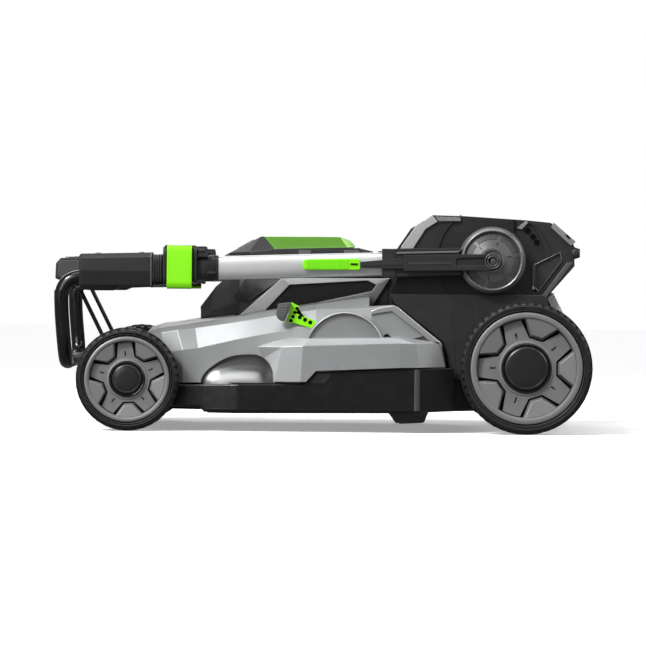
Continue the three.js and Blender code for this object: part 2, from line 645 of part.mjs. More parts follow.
function jointHousing() {
  const shell = prismY([[-414.6, 304.9], [-294.9, 307.4], [-289.8, 251.1], [-352, 241.5],
    [-391, 239.5], [-416, 243.5], [-419, 252.9], [-419, 283]], -250, -172);
  const bevel = prismX([[-251, 297], [-242, 310], [-251, 310]], -430, -280);
  const bevelIn = prismX([[-171, 310], [-180, 310], [-171, 297]], -430, -280);
  const neck = tubeBody(-291, -273, -4);
  const bore = tubeBody(-318.4, -260, TUBE.wall);
  const legBore = gripBar(LOOP.r + 0.9);
  return cut(join(shell, neck), bevel, bevelIn, bore, legBore,
    barY(BAIL.x, BAIL.z, 5.4, -176.6, -171),
    box(-436, BAIL.x, -176.6, -171, BAIL.z - 5.4, BAIL.z + 5.4));
}

function gripBar(r) {
  const y = LOOP.y;
  const side = [[-330, -y, 262], [-452, -y, 264], [-451.8, -y, 223], [-443, -y, 116]];
  const far = side.map(([x, , z]) => [x, y, z]).reverse();
  return sweptBar([...side, ...far], r, [30, 8, 44, 44, 8, 30], 12, 64);
}

function switchConsole() {
  const block = prismY([[-468.3, 259.6], [-467.6, 287.9], [-458.5, 296.9], [-360, 297.5],
    [-352, 290], [-352, 262], [-360, 256], [-450, 254]], -112, 112);
  const bridge = box(-396, -366, -171.6, 171.6, 262, 292);
  const hollow = prismY([[-456, 262], [-455, 290], [-366, 290], [-366, 262]], -106, 106);
  const well = box(-480, -452, -16, 16, 266, 284);
  const floor = box(-461, -452, -22, 22, 260, 291);
  const cell = box(-464.6, -455, -17.5, 17.5, 264, 286);
  const vent = box(-430, -380, -50, 50, 250, 263);
  const cellRoom = cell.intersect(box(-462, -455, -30, 30, 0, 400));
  return cut(join(cut(join(block, bridge), hollow), floor), well, cellRoom, vent);
}

function startButton() {
  return box(-467.8, -453.2, -14.6, 14.6, 267, 283);
}

function bail() {
  const lean = (BAIL.lean * Math.PI) / 180;
  const x = BAIL.x + Math.sin(lean) * BAIL.long;
  const z = BAIL.z - Math.cos(lean) * BAIL.long;
  const [pivotY, legY] = [BAIL.y, BAIL.y - 9];
  const path = [[BAIL.x, -pivotY, BAIL.z], [BAIL.x, -legY, BAIL.z], [x, -legY, z],
    [x, legY, z], [BAIL.x, legY, BAIL.z], [BAIL.x, pivotY, BAIL.z]];
  return sweptBar(path, BAIL.r, [6, 26, 26, 6], 8, 48);
}

// ---- power unit --------------------------------------------------------------------------------
function blade() {
  const bar = box(BLADE.x - BLADE.r, BLADE.x + BLADE.r, -27, 27, BLADE.z - 2, BLADE.z + 2);
  const circle = barZ(BLADE.x, 0, BLADE.r, 0, 120, 64);
  const lift = (s) => prismX(
    [[s * 14, BLADE.z - 2], [s * 27, BLADE.z - 2], [s * 33, BLADE.z + 12], [s * 31, BLADE.z + 15],
     [s * 24, BLADE.z + 2], [s * 14, BLADE.z + 2]],
    BLADE.x + (s > 0 ? 150 : -236), BLADE.x + (s > 0 ? 236 : -150));
  return cut(join(bar, lift(1), lift(-1)).intersect(circle), barZ(BLADE.x, 0, 6.3, 0, 120));
}

function stator() {
  return cut(barZ(BLADE.x, 0, MOTOR.r, 140, 200, 32), barZ(BLADE.x, 0, 34.5, 100, 194.5, 28),
    barZ(BLADE.x, 0, 9, 100, 240));
}

function rotor() {
  return join(barZ(BLADE.x, 0, 33.8, 146, 190, 28), barZ(BLADE.x, 0, 8, 84, 205, 20),
    barZ(BLADE.x, 0, 6, 60, 90, 20));
}

function bearing(z0, z1, r) {
  return cut(barZ(BLADE.x, 0, r, z0, z1), barZ(BLADE.x, 0, 8 + GAP, 0, 300, 20));
}

function bladeAdapter() {
  return cut(
    join(barZ(BLADE.x, 0, 22, 60, 84, 28), barZ(BLADE.x, 0, 34, 54.4, 61, 28)),
    barZ(BLADE.x, 0, 6.3, 0, 200),
    barZ(BLADE.x, 0, 8 + GAP, 83.7, 200, 20),
  );
}

function bladeBolt() {
  return join(barZ(BLADE.x, 0, 20, 46.4, 49.6, 28), barZ(BLADE.x, 0, 10, 38, 47, 6),
    barZ(BLADE.x, 0, 6, 47, 59.6, 20));
}

function batteryPack() {
  const pack = box(-98, 44, -46, 46, 222, 300);
  const handle = prismY([[-80, 299], [20, 299], [10, 322], [-70, 322]], -14, 14);
  const grip = prismY([[-62, 303], [4, 303], [-2, 315], [-56, 315]], -20, 20);
  const socket = box(30, 50, -31, 31, 221, 262);
  return cut(join(pack, handle), grip, socket);
}

function terminalBlock() {
  const blades = [-18, -6, 6, 18].map((y) => box(32, 46, y - 1.5, y + 1.5, 228, 250));
  return join(box(44.6, 53.6, -29, 29, 222, 258), ...blades);
}

function controller() {
  return join(box(66, 110, -60, 60, 240, 246), box(72, 104, -40, 40, 245, 262));
}

// ---- assembly -----------------------------------------------------------------------------------
add("deck_lower", lowerDeck(), "deckBlack");
add("deck_shell", upperShell(), "silver");
add("body_housing", bodyHousing(), "bodyGrey");
addPair("side_trim", sideTrim(), "silver");
addPair("insert_panel", insertPanel(), "gloss");
add("battery_lid", batteryLid(), "lime");
add("battery_pack", batteryPack(), "bodyGrey");
add("terminal_block", terminalBlock(), "steel");
add("motor_controller", controller(), "board");
add("motor_stator", stator(), "copper");
add("motor_rotor", rotor(), "steel");
add("lower_bearing", bearing(126.4, 136, 29.4), "steel");
add("blade_adapter", bladeAdapter(), "steel");
add("blade", blade(), "steel");
add("blade_bolt", bladeBolt(), "steel");
addWheel("front", FRONT);
addWheel("rear", REAR);
add("front_axle", axle(FRONT_PIVOT, FRONT), "steel");
add("rear_axle", axle(REAR_PIVOT, REAR), "steel");
add("height_link", heightLink(), "steel");
add("height_lever", heightLever(), "lime");
add("height_knob", heightKnob(), "bodyGrey");
add("notch_plate", notchPlate(), "steel");
add("rear_housing", rearHousing(), "bodyGrey");
add("rear_door", rearDoor(), "silver");
add("door_rod", doorRod(), "steel");
add("side_flap", sideFlap(), "deckBlack");
addPair("lower_arm", lowerArm(), "bodyGrey");
addPair("pivot_disc", pivotDisc(), "rimGrey");
addPair("outer_tube", outerTube(), "aluminium");
addPair("clamp_collar", clampCollar(), "bodyGrey");
addPair("cam_lever", camLever(), "lime");
addPair("release_lever", releaseLever(), "lime");
addPair("inner_tube", innerTube(), "aluminium");
addPair("joint_housing", jointHousing(), "bodyGrey");
add("switch_console", switchConsole(), "bodyGrey");
add("start_button", startButton(), "lime");
add("bail", bail(), "gloss");
add("grip_loop", gripBar(LOOP.r), "gloss");

export default mower;
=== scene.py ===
"""Push lawn mower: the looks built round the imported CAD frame.

Pieces are built in millimetres. The floor, sky, lamps and camera at the end are in metres.
"""

import math

import bmesh
import bpy
from mathutils import Matrix, Vector


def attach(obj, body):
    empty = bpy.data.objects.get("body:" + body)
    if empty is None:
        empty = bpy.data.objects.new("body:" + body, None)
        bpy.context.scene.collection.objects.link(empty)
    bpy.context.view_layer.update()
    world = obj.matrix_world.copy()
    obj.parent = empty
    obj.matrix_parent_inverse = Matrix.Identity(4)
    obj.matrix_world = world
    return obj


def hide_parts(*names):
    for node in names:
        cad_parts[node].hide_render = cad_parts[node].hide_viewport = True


MM = 0.001

# x, z: axle; r, rim: radius of tyre and rim; lip: width of the rim's edge; cap: hub cap radius;
# lugs: tread blocks; outer, inner: the two sides' distance from the middle plane; spoke: degrees.
FRONT = {"x": -331.5, "z": 88.9, "r": 88.9, "rim": 74.0, "lip": 9.6, "cap": 30.0, "lugs": 38,
         "outer": 288.0, "inner": 243.0, "spoke": 94.0}
REAR = {"x": 354.0, "z": 114.3, "r": 114.3, "rim": 97.0, "lip": 12.2, "cap": 42.0, "lugs": 50,
        "outer": 288.0, "inner": 240.0, "spoke": 108.0}

# Axes seen from the side, as (x, z): the handle's fold, the height lever and the bail.
FOLD = (295.0, 299.5)
LEVER = (42.0, 139.0)
BAIL_HINGE = (-424, 249)
TUBE_SLOPE = 9.5 / 273.0
TUBE_Y = -228.0
HUB_REACH = 260
SMOOTH = math.radians(32)

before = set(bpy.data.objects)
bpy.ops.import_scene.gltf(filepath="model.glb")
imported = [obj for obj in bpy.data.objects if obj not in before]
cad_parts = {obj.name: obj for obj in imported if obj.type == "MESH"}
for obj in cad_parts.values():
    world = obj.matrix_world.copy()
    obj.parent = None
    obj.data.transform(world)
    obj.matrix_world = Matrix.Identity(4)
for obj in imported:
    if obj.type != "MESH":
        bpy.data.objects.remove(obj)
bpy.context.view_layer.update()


# ---- mesh helpers ---------------------------------------------------------------------
def poly(points, faces):
    """A mesh from corners and face lists."""
    bm = bmesh.new()
    verts = [bm.verts.new(p) for p in points]
    for face in faces:
        bm.faces.new([verts[i] for i in face])
    bmesh.ops.recalc_face_normals(bm, faces=bm.faces)
    return bm


def bevel(bm, width, segments=2, angle=24):
    """Rounds every edge sharper than the angle."""
    limit = math.radians(angle)
    edges = [e for e in bm.edges if e.is_manifold and e.calc_face_angle(0) > limit]
    if edges and width:
        bmesh.ops.bevel(bm, geom=edges, offset=width, segments=segments, profile=0.5,
                        affect="EDGES", clamp_overlap=False)
    return bm


def fillet(points, r, steps=4):
    """The outline with each corner rounded by up to r, or by its own radius in a list."""
    out = []
    n = len(points)
    for i, p in enumerate(points):
        rr = r[i] if isinstance(r, (list, tuple)) else r
        here = Vector(p)
        back = Vector(points[i - 1]) - here
        on = Vector(points[(i + 1) % n]) - here
        reach = min(rr, back.length * 0.45, on.length * 0.45)
        if reach < 0.2:
            out.append(tuple(here))
            continue
        a = here + back.normalized() * reach
        b = here + on.normalized() * reach
        for k in range(steps + 1):
            t = k / steps
            out.append(tuple(a * (1 - t) ** 2 + here * 2 * t * (1 - t) + b * t * t))
    return out


def slab(near, far):
    """Closed form between two matching rings of points."""
    n = len(near)
    faces = [list(range(n)), [n + i for i in reversed(range(n))]]
    faces += [[i, (i + 1) % n, n + (i + 1) % n, n + i] for i in range(n)]
    return poly(near + far, faces)


def prism(outline, y0, y1, edge=0.8, segments=2, axis="y"):
    """Outline drawn out between two planes: (x, z) along y, (y, z) along x, (x, y) along z."""
    place = {"y": lambda a, b, c: (a, c, b), "x": lambda a, b, c: (c, a, b),
             "z": lambda a, b, c: (a, b, c)}[axis]
    near, far = ([place(a, b, y) for a, b in outline] for y in (y0, y1))
    return bevel(slab(near, far), edge, segments)


def block(x0, x1, y0, y1, z0, z1, edge=0.8, segments=2):
    """Box between two limits on each axis."""
    return prism([(x0, z0), (x1, z0), (x1, z1), (x0, z1)], y0, y1, edge, segments)


def loft(rings, edge=0.0, segments=2, angle=24, caps=True, closed=True):
    """Skin through rings of (x, y, z) points."""
    n = len(rings[0])
    pts = [p for ring in rings for p in ring]
    faces = []
    last = n if closed else n - 1
    for s in range(len(rings) - 1):
        for i in range(last):
            j = (i + 1) % n
            faces.append([s * n + i, s * n + j, (s + 1) * n + j, (s + 1) * n + i])
    if caps:
        faces.append(list(range(n)))
        faces.append([(len(rings) - 1) * n + i for i in reversed(range(n))])
    return bevel(poly(pts, faces), edge, segments, angle)


def lathe(profile, centre, steps=96, axis="y", closed=False):
    """Profile of (radius, distance along the axis) turned about the axis."""
    cx, cz = centre
    place = {"y": lambda r, t, h: (cx + r * math.cos(t), h, cz + r * math.sin(t)),
             "z": lambda r, t, h: (cx + r * math.cos(t), cz + r * math.sin(t), h),
             "x": lambda r, t, h: (h, cx + r * math.cos(t), cz + r * math.sin(t))}[axis]
    bm = bmesh.new()
    rings = []
    for r, h in profile:
        if r < 1e-6:
            rings.append([bm.verts.new(place(0, 0, h))])
        else:
            rings.append([bm.verts.new(place(r, 2 * math.pi * k / steps, h))
                          for k in range(steps)])
    pairs = list(zip(rings, rings[1:]))
    if closed:
        pairs.append((rings[-1], rings[0]))
    for a, b in pairs:
        for k in range(steps):
            j = (k + 1) % steps
            corner = [a[k % len(a)], a[j % len(a)], b[j % len(b)], b[k % len(b)]]
            unique = list(dict.fromkeys(corner))
            if len(unique) > 2:
                bm.faces.new(unique)
    bmesh.ops.recalc_face_normals(bm, faces=bm.faces)
    return bm


def rounded_path(points, bends, steps=8):
    """Straight runs joined by round bends."""
    pts = [Vector(p) for p in points]
    out = [pts[0]]
    for i in range(1, len(pts) - 1):
        back = (pts[i - 1] - pts[i]).normalized() * bends[i - 1]
        on = (pts[i + 1] - pts[i]).normalized() * bends[i - 1]
        for k in range(steps + 1):
            t = k / steps
            out.append((pts[i] + back) * (1 - t) ** 2 + pts[i] * 2 * t * (1 - t)
                       + (pts[i] + on) * t * t)
    out.append(pts[-1])
    return out


def swept(path, radius, sides):
    """Round bar along a path."""
    n = len(path)
    tangent = (path[1] - path[0]).normalized()
    side = tangent.orthogonal().normalized()
    rings = []
    for i, p in enumerate(path):
        on = path[min(i + 1, n - 1)] - path[max(i - 1, 0)]
        ahead = on.normalized()
        side = (tangent.rotation_difference(ahead) @ side).normalized()
        tangent = ahead
        up = tangent.cross(side)
        rings.append([tuple(p + (side * math.cos(a) + up * math.sin(a)) * radius)
                      for a in (2 * math.pi * k / sides for k in range(sides))])
    return loft(rings)


def mirrored(bm):
    """The right-hand copy of a left-hand mesh."""
    twin = bm.copy()
    bmesh.ops.scale(twin, vec=(1, -1, 1), verts=twin.verts)
    bmesh.ops.reverse_faces(twin, faces=twin.faces)
    return twin


def both(bm):
    """A left-hand mesh and its mirror image in one."""
    return merged(bm, mirrored(bm))


def as_mesh(bm, name="part"):
    """Mesh data made from a bmesh."""
    mesh = bpy.data.meshes.new(name)
    bm.to_mesh(mesh)
    return mesh


def linked(name, data):
    """A new object in the scene."""
    obj = bpy.data.objects.new(name, data)
    bpy.context.scene.collection.objects.link(obj)
    return obj


def append(total, bm):
    """Adds one mesh's faces to another."""
    mesh = as_mesh(bm)
    total.from_mesh(mesh)
    bpy.data.meshes.remove(mesh)


def merged(*bms):
    """Several meshes in one."""
    out = bmesh.new()
    for bm in bms:
        append(out, bm)
    return out


def carve(bm, *tools, keep=False):
    """bm with the tools cut away, or with keep, only what lies inside them."""
    target, *cutters = [linked("temp", as_mesh(shape)) for shape in (bm, *tools)]
    for cutter in cutters:
        mod = target.modifiers.new("carve", "BOOLEAN")
        mod.operation = "INTERSECT" if keep else "DIFFERENCE"
        mod.solver = "MANIFOLD"
        mod.object = cutter
    bpy.context.view_layer.update()
    made = target.evaluated_get(bpy.context.evaluated_depsgraph_get()).to_mesh()
    out = bmesh.new()
    out.from_mesh(made)
    for obj in [target, *cutters]:
        mesh = obj.data
        bpy.data.objects.remove(obj)
        bpy.data.meshes.remove(mesh)
    return out


def tidy(bm, edge=0.0, segments=2, angle=30):
    """Joins flat neighbours after a cut, then rounds the sharp edges."""
    bmesh.ops.remove_doubles(bm, verts=bm.verts, dist=0.02)
    bmesh.ops.dissolve_limit(bm, angle_limit=math.radians(0.8), verts=bm.verts, edges=bm.edges)
    return bevel(bm, edge, segments, angle)


def of_node(name, edge=0.0, angle=30):
    """A CAD node's shape in millimetres, with its sharp edges rounded."""
    bm = bmesh.new()
    bm.from_mesh(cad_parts[name].data)
    bmesh.ops.scale(bm, vec=(1000, 1000, 1000), verts=bm.verts)
    for layer in list(bm.loops.layers.uv):
        bm.loops.layers.uv.remove(layer)
    return tidy(bm, edge, 2, angle)


# ---- materials ------------------------------------------------------------------------
BUMP_DEPTH = 0.0004


def plastic(name, colour, rough, metal=0.0, grain=900.0, bump=0.12, spread=0.08, wear=0.35,
            shade=0.12, coat=0.0, streak=None, wear_colour=None, specular=0.5):
    """Moulded, painted or brushed surface: grain, uneven gloss, soft blotches, worn edges."""
    mat = bpy.data.materials.new(name)
    mat.use_nodes = True
    tree = mat.node_tree
    shader = tree.nodes["Principled BSDF"]
    link = tree.links.new
    coords = tree.nodes.new("ShaderNodeTexCoord")
    source = coords.outputs["Object"]
    if streak:
        mapping = tree.nodes.new("ShaderNodeMapping")
        mapping.inputs["Scale"].default_value = streak
        link(source, mapping.inputs["Vector"])
        fine_source = mapping.outputs["Vector"]
    else:
        fine_source = source

    def noise(scale, detail, vector):
        node = tree.nodes.new("ShaderNodeTexNoise")
        node.inputs["Scale"].default_value = scale
        node.inputs["Detail"].default_value = detail
        link(vector, node.inputs["Vector"])
        return node.outputs["Fac"]

    def ranged(value, low, high, src=(0.3, 0.7)):
        node = tree.nodes.new("ShaderNodeMapRange")
        node.inputs["From Min"].default_value = src[0]
        node.inputs["From Max"].default_value = src[1]
        node.inputs["To Min"].default_value = low
        node.inputs["To Max"].default_value = high
        link(value, node.inputs["Value"])
        return node.outputs["Result"]

    def mix(factor, a, b):
        node = tree.nodes.new("ShaderNodeMix")
        node.data_type = "RGBA"
        link(factor, node.inputs["Factor"])
        for key, value in (("A", a), ("B", b)):
            socket = [s for s in node.inputs if s.name == key and s.type == "RGBA"][0]
            if isinstance(value, tuple):
                socket.default_value = (*value, 1)
            else:
                link(value, socket)
        return [s for s in node.outputs if s.type == "RGBA"][0]

    fine = noise(grain, 3, fine_source)
    broad = noise(9, 4, source)
    dark = tuple(c * (1 - shade) for c in colour)
    light = tuple(min(1, c * (1 + shade)) for c in colour)
    base = mix(ranged(broad, 0, 1), dark, light)
    speck = mix(ranged(fine, 0, 0.35), base, dark)
    edge = tree.nodes.new("ShaderNodeNewGeometry").outputs["Pointiness"]
    worn = tuple(min(1, c * 1.5 + 0.05) for c in colour) if wear_colour is None else wear_colour
    final = mix(ranged(edge, 0, wear, (0.5, 0.62)), speck, worn)
    link(final, shader.inputs["Base Color"])
    link(ranged(noise(46, 5, source), rough - spread, rough + spread), shader.inputs["Roughness"])
    shader.inputs["Metallic"].default_value = metal
    shader.inputs["Specular IOR Level"].default_value = specular
    if coat:
        shader.inputs["Coat Weight"].default_value = coat
        shader.inputs["Coat Roughness"].default_value = 0.12
    node = tree.nodes.new("ShaderNodeBump")
    node.inputs["Strength"].default_value = bump
    node.inputs["Distance"].default_value = BUMP_DEPTH
    link(fine, node.inputs["Height"])
    link(node.outputs["Normal"], shader.inputs["Normal"])
    return mat


# Name, colour, roughness, metal, grain scale, bump, spread of roughness, wear, blotch shade.
M = {
    "silver": plastic("silver_paint", (0.33, 0.335, 0.34), 0.4, 0.4, 1400, 0.06, 0.04, 0.15, 0.05),
    "black": plastic("deck_black", (0.006, 0.006, 0.0065), 0.3, 0.0, 1100, 0.1, 0.06, 0.2),
    "grey": plastic("body_grey", (0.016, 0.0163, 0.017), 0.42, 0.0, 1100, 0.16, 0.06, 0.25),
    "fender": plastic("fender_silver", (0.3, 0.303, 0.306), 0.3, 0.95, 300, 0.0, 0.02, 0.05, 0.02),
    "mid": plastic("mid_grey", (0.06, 0.061, 0.063), 0.38, 0.1, 1200, 0.12, 0.05, 0.2),
    "gloss": plastic("gloss_black", (0.009, 0.009, 0.0095), 0.16, 0.0, 700, 0.02, 0.04, 0.1,
                     coat=0.3),
    "lime": plastic("lime_plastic", (0.26, 0.9, 0.004), 0.38, 0.0, 1200, 0.08, 0.05, 0.15, 0.04,
                    wear_colour=(0.35, 0.95, 0.06)),
    "lid": plastic("lid_green", (0.075, 0.21, 0.016), 0.34, 0.0, 1200, 0.08, 0.05, 0.2, 0.06,
                   wear_colour=(0.2, 0.55, 0.06)),
    "pale": plastic("lid_end_green", (0.3, 0.56, 0.15), 0.4, 0.0, 1200, 0.08, 0.05, 0.15, 0.05),
    "steel": plastic("zinc_steel", (0.42, 0.43, 0.45), 0.34, 0.95, 1500, 0.08, 0.08, 0.3, 0.1,
                     streak=(1, 6, 1)),
    "blade": plastic("blade_steel", (0.3, 0.3, 0.31), 0.38, 0.95, 1000, 0.15, 0.12, 0.5, 0.15,
                     streak=(6, 1, 1)),
    "aluminium": plastic("brushed_aluminium", (0.74, 0.745, 0.75), 0.38, 0.6, 1100, 0.05, 0.02, 0.05,
                         0.02, streak=(0.02, 1, 1)),
    "tyre": plastic("tyre_rubber", (0.007, 0.007, 0.007), 0.52, 0.0, 700, 0.3, 0.1, 0.4, 0.25,
                    wear_colour=(0.02, 0.02, 0.02)),
    "rim": plastic("rim_grey", (0.22, 0.221, 0.224), 0.42, 0.3, 1300, 0.08, 0.04, 0.2, 0.05),
    "disc": plastic("disc_grey", (0.15, 0.151, 0.153), 0.36, 0.5, 1300, 0.08, 0.05, 0.35, 0.06),
    "cap": plastic("hub_black", (0.016, 0.016, 0.017), 0.33, 0.1, 1200, 0.06, 0.05, 0.3),
    "rubber": plastic("tube_black", (0.006, 0.006, 0.0065), 0.18, 0.0, 1500, 0.06, 0.05, 0.1),
    "copper": plastic("copper_wire", (0.5, 0.2, 0.08), 0.35, 0.9, 1500, 0.3, 0.1, 0.3,
                      streak=(1, 1, 8)),
    "board": plastic("circuit_board", (0.02, 0.1, 0.04), 0.45, 0.0, 900, 0.3, 0.1, 0.3),
    # shadow_black is the near-black fill for wheel pockets, holes, slots and gaps: painted shade.
    "dark": plastic("shadow_black", (0.002, 0.002, 0.002), 0.7, 0.0, 900, 0.1, 0.1, 0.0,
                    specular=0.08),
}


# ---- pieces ---------------------------------------------------------------------------
def piece(name, parts, body, nodes=()):
    """One visible object from (mesh, material name) parts, riding a body."""
    total = bmesh.new()
    names = []
    for bm, material in parts:
        if material not in names:
            names.append(material)
        bmesh.ops.recalc_face_normals(bm, faces=bm.faces)
        for face in bm.faces:
            face.material_index = names.index(material)
            face.smooth = True
        append(total, bm)
    bmesh.ops.scale(total, vec=(MM, MM, MM), verts=total.verts)
    mesh = as_mesh(total, name)
    for material in names:
        mesh.materials.append(M[material])
    mesh.set_sharp_from_angle(angle=SMOOTH)
    obj = linked(name, mesh)
    weighted = obj.modifiers.new("weighted", "WEIGHTED_NORMAL")
    weighted.keep_sharp = True
    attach(obj, body)
    if nodes:
        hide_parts(*nodes)
    return obj


def pair(name, parts, bodies, nodes=()):
    """The left-hand piece and its mirror image on the right."""
    twins = [(mirrored(bm), material) for bm, material in parts]
    for side, group, body in (("left", parts, bodies[0]), ("right", twins, bodies[1])):
        piece(f"{name}_{side}_look", group, body, [f"{n}_{side}" for n in nodes])


def keep(node, material):
    """A CAD node that stays as it is, in a procedural finish."""
    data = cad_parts[node].data
    data.materials.clear()
    data.materials.append(M[material])
    for face in data.polygons:
        face.use_smooth = True
    data.set_sharp_from_angle(angle=SMOOTH)


def screw(x, z, y, r, axis="y"):
    """Pan-head screw with a six-sided recess, its head facing away along the axis."""
    s = -1 if y < 0 else 1
    head = lathe([(r * 0.5, y - s * 0.2), (r * 0.55, y + s * 1.1), (r * 0.82, y + s * 1.0),
                  (r, y + s * 0.3), (r, y - s * 1.5)], (x, z), 20, axis)
    well = lathe([(r * 0.5, y + s * 1.0), (r * 0.42, y - s * 0.6), (0, y - s * 0.6)], (x, z), 6,
                 axis)
    return merged(head, well)


# ---- wheels ---------------------------------------------------------------------------
def at_angle(w, r, degrees):
    """(x, z) of a point at a radius from the wheel's centre."""
    t = math.radians(degrees)
    return (w["x"] + r * math.cos(t), w["z"] + r * math.sin(t))


def lug(w, spine, degrees, half):
    """One tread block: a ridge over a (radius, depth) spine, narrower on top."""
    rings = []
    for r, depth in spine:
        corners = [at_angle(w, r - 6, degrees - half - 0.5), at_angle(w, r, degrees - half),
                   at_angle(w, r, degrees + half), at_angle(w, r - 6, degrees + half + 0.5)]
        rings.append([(x, depth - w["outer"], z) for x, z in corners])
    return loft(rings)


def wheel_lathe(w, profile, steps=96, closed=False):
    """Turns (radius, depth behind the wheel's outer face) points about the axle."""
    return lathe([(r, depth - w["outer"]) for r, depth in profile], (w["x"], w["z"]), steps,
                 closed=closed)


def tyre(w):
    """Side walls and carcass, with a block on each shoulder and a middle one in every pitch."""
    r, rim, wide = w["r"], w["rim"], w["outer"] - w["inner"]

    def far_side(points):
        return [(a, wide - depth) for a, depth in reversed(points)]

    wall = [(rim + 0.3, 5), (rim + 1.2, 2.2), (rim + 2.6, 1.2), (rim + 3.4, 1.9), (rim + 4.4, 1.9),
            (rim + 5, 1.0), (r - 9.4, 0.9), (r - 8.8, 0.3), (r - 7.8, 0.4), (r - 7.2, 1.3),
            (r - 5.8, 2.6), (r - 3.9, 7), (r - 3.4, 14)]
    body = wheel_lathe(w, [*wall, (r - 3.2, wide / 2), *far_side(wall)], 120, closed=True)
    pitch = 360 / w["lugs"]
    shoulder = [(r - 5.9, 1.9), (r - 3.2, 3.6), (r - 0.9, 7.6), (r - 0.2, 16)]
    middle = [(r - 0.2, 18.6), (r, wide / 2), (r - 0.2, wide - 18.6)]
    blocks = []
    for k in range(w["lugs"]):
        for spine, place, half in ((shoulder, k, 0.27), (middle, k + 0.5, 0.24),
                                   (far_side(shoulder), k, 0.27)):
            blocks.append(lug(w, spine, place * pitch, pitch * half))
    return merged(body, *blocks)


def local_outline(w, corners, degrees):
    """(along, across) corners turned to point out from the centre at the angle."""
    t = math.radians(degrees)
    return [(w["x"] + a * math.cos(t) - c * math.sin(t),
             w["z"] + a * math.sin(t) + c * math.cos(t)) for a, c in corners]


def pocket(w):
    """Bore radius of the rim, gap round its pads, and the pads' inner end: distance and width."""
    bore = w["rim"] - w["lip"]
    return bore, 0.075 * bore, 0.68 * bore, 0.103 * bore


def spoke_plate(w):
    """Star of five spokes, each with a short slot."""
    o = w["outer"]
    bore, gap, deep, wide = pocket(w)
    edge = 0.334 * bore + gap * 1.1
    end = bore - 1.3
    reach = math.sqrt(end * end - edge * edge)
    star = []
    for mid in (w["spoke"] + 36 + 72 * k for k in range(5)):
        star += local_outline(w, [(reach, -edge), (deep - gap, -wide - gap * 0.55),
                                  (deep - gap, wide + gap * 0.55), (reach, edge)], mid)
        star += [at_angle(w, end, mid + a) for a in (28, 32, 36, 40, 44)]
    long, thin = bore * 0.06, bore * 0.02
    slot = [(deep - long, -thin), (deep + long, -thin), (deep + long, thin), (deep - long, thin)]
    slots = [prism(local_outline(w, slot, w["spoke"] + 72 * k), -o + 4, -o + 17.4, 0)
             for k in range(5)]
    return tidy(carve(prism(star, -o + 12.5, -o + 21, 0), *slots), 0.7, 2, 40)


def rim_pad(w, mid):
    """Raised pad between two spokes, flush with the rim's edge and narrower on top."""
    o = w["outer"]
    bore, gap, deep, wide = pocket(w)
    rings = []
    for grow in (0, 1):
        start, half = deep - 0.75 * gap * grow, wide + 0.42 * gap * grow
        corners = [(start, -half), (start, half)]
        for a in (19.5, 10, 0, -10, -19.5):
            t = math.radians(a * (1 + 0.13 * grow))
            corners.append(((bore + 1.2) * math.cos(t), (bore + 1.2) * math.sin(t)))
        rings.append(local_outline(w, corners, mid))
    high = [(x, -o + 3.4 + (bore - math.hypot(x - w["x"], z - w["z"])) * 0.16, z)
            for x, z in rings[0]]
    low = [(x, -o + 20, z) for x, z in rings[1]]
    return bevel(slab(high, low), 1.3, 3, 40)


def rim_parts(w):
    """Rim ring, spokes, pads, hub and the ribs behind them, over a near-black floor that paints the
    shade deep in the pockets.
    """
    rim, cap, wide = w["rim"], w["cap"], w["outer"] - w["inner"]
    bore = pocket(w)[0]
    ring = wheel_lathe(w, [(bore, 22), (bore, 7), (bore + 0.9, 3.4), (bore + 2.6, 1.4),
                           (bore + 4.6, 0.8), (rim - 3.4, 0.8), (rim - 1.4, 1.8), (rim - 0.2, 5),
                           (rim - 0.2, wide - 5), (rim - 6, wide - 5), (rim - 7, 24)], 128, True)
    # The floor is near-black shadow_black: painted shade showing through the gaps round the pads.
    floor = wheel_lathe(w, [(0, 18), (bore + 2, 18), (bore + 2, 23), (0, 23)])
    pads = [rim_pad(w, w["spoke"] + 36 + 72 * k) for k in range(5)]
    hub = wheel_lathe(w, [(cap + 6.4, 12.8), (cap + 4.6, 11), (cap + 1.4, 10.4), (cap + 0.6, 12.4),
                          (cap + 0.6, 18)])
    boss = wheel_lathe(w, [(cap * 0.8, 22), (cap * 0.66, wide - 3), (6.3, wide - 3), (6.3, 22)],
                       48, True)
    rib = [(cap * 0.6, -1.3), (rim - 6.5, -1.3), (rim - 6.5, 1.3), (cap * 0.6, 1.3)]
    ribs = [prism(local_outline(w, rib, w["spoke"] + 36 * k), 22 - w["outer"], -w["inner"] - 8,
                  0.3, 1) for k in range(10)]
    return [(merged(ring, spoke_plate(w), *pads, hub, boss, *ribs), "rim"), (floor, "dark")]


def hub_cap(w):
    """Domed cap with a stepped edge, in a glossy collar."""
    cap = w["cap"]
    collar = wheel_lathe(w, [(cap + 0.5, 12), (cap + 0.3, 8.4), (cap - 0.8, 7.4), (cap - 2.4, 7.8),
                             (cap - 3.6, 11.5), (cap - 4.6, 11.5)])
    face = wheel_lathe(w, [(cap - 4.4, 12), (cap - 4.6, 4.2), (cap - 5.4, 2.6), (cap - 7.6, 1.3),
                           (cap - 8.2, 1.35), (cap - 8.9, 1.9), (cap - 9.5, 1.5), (cap * 0.5, 0.5),
                           (0, 0.2)])
    return [(collar, "gloss"), (face, "cap")]


for end, w in (("front", FRONT), ("rear", REAR)):
    bodies = (f"wheel_{end}_left", f"wheel_{end}_right")
    pair(f"tyre_{end}", [(tyre(w), "tyre")], bodies, [f"tyre_{end}"])
    pair(f"rim_{end}", rim_parts(w), bodies, [f"rim_{end}"])
    pair(f"hub_cap_{end}", hub_cap(w), bodies, [f"hub_cap_{end}"])


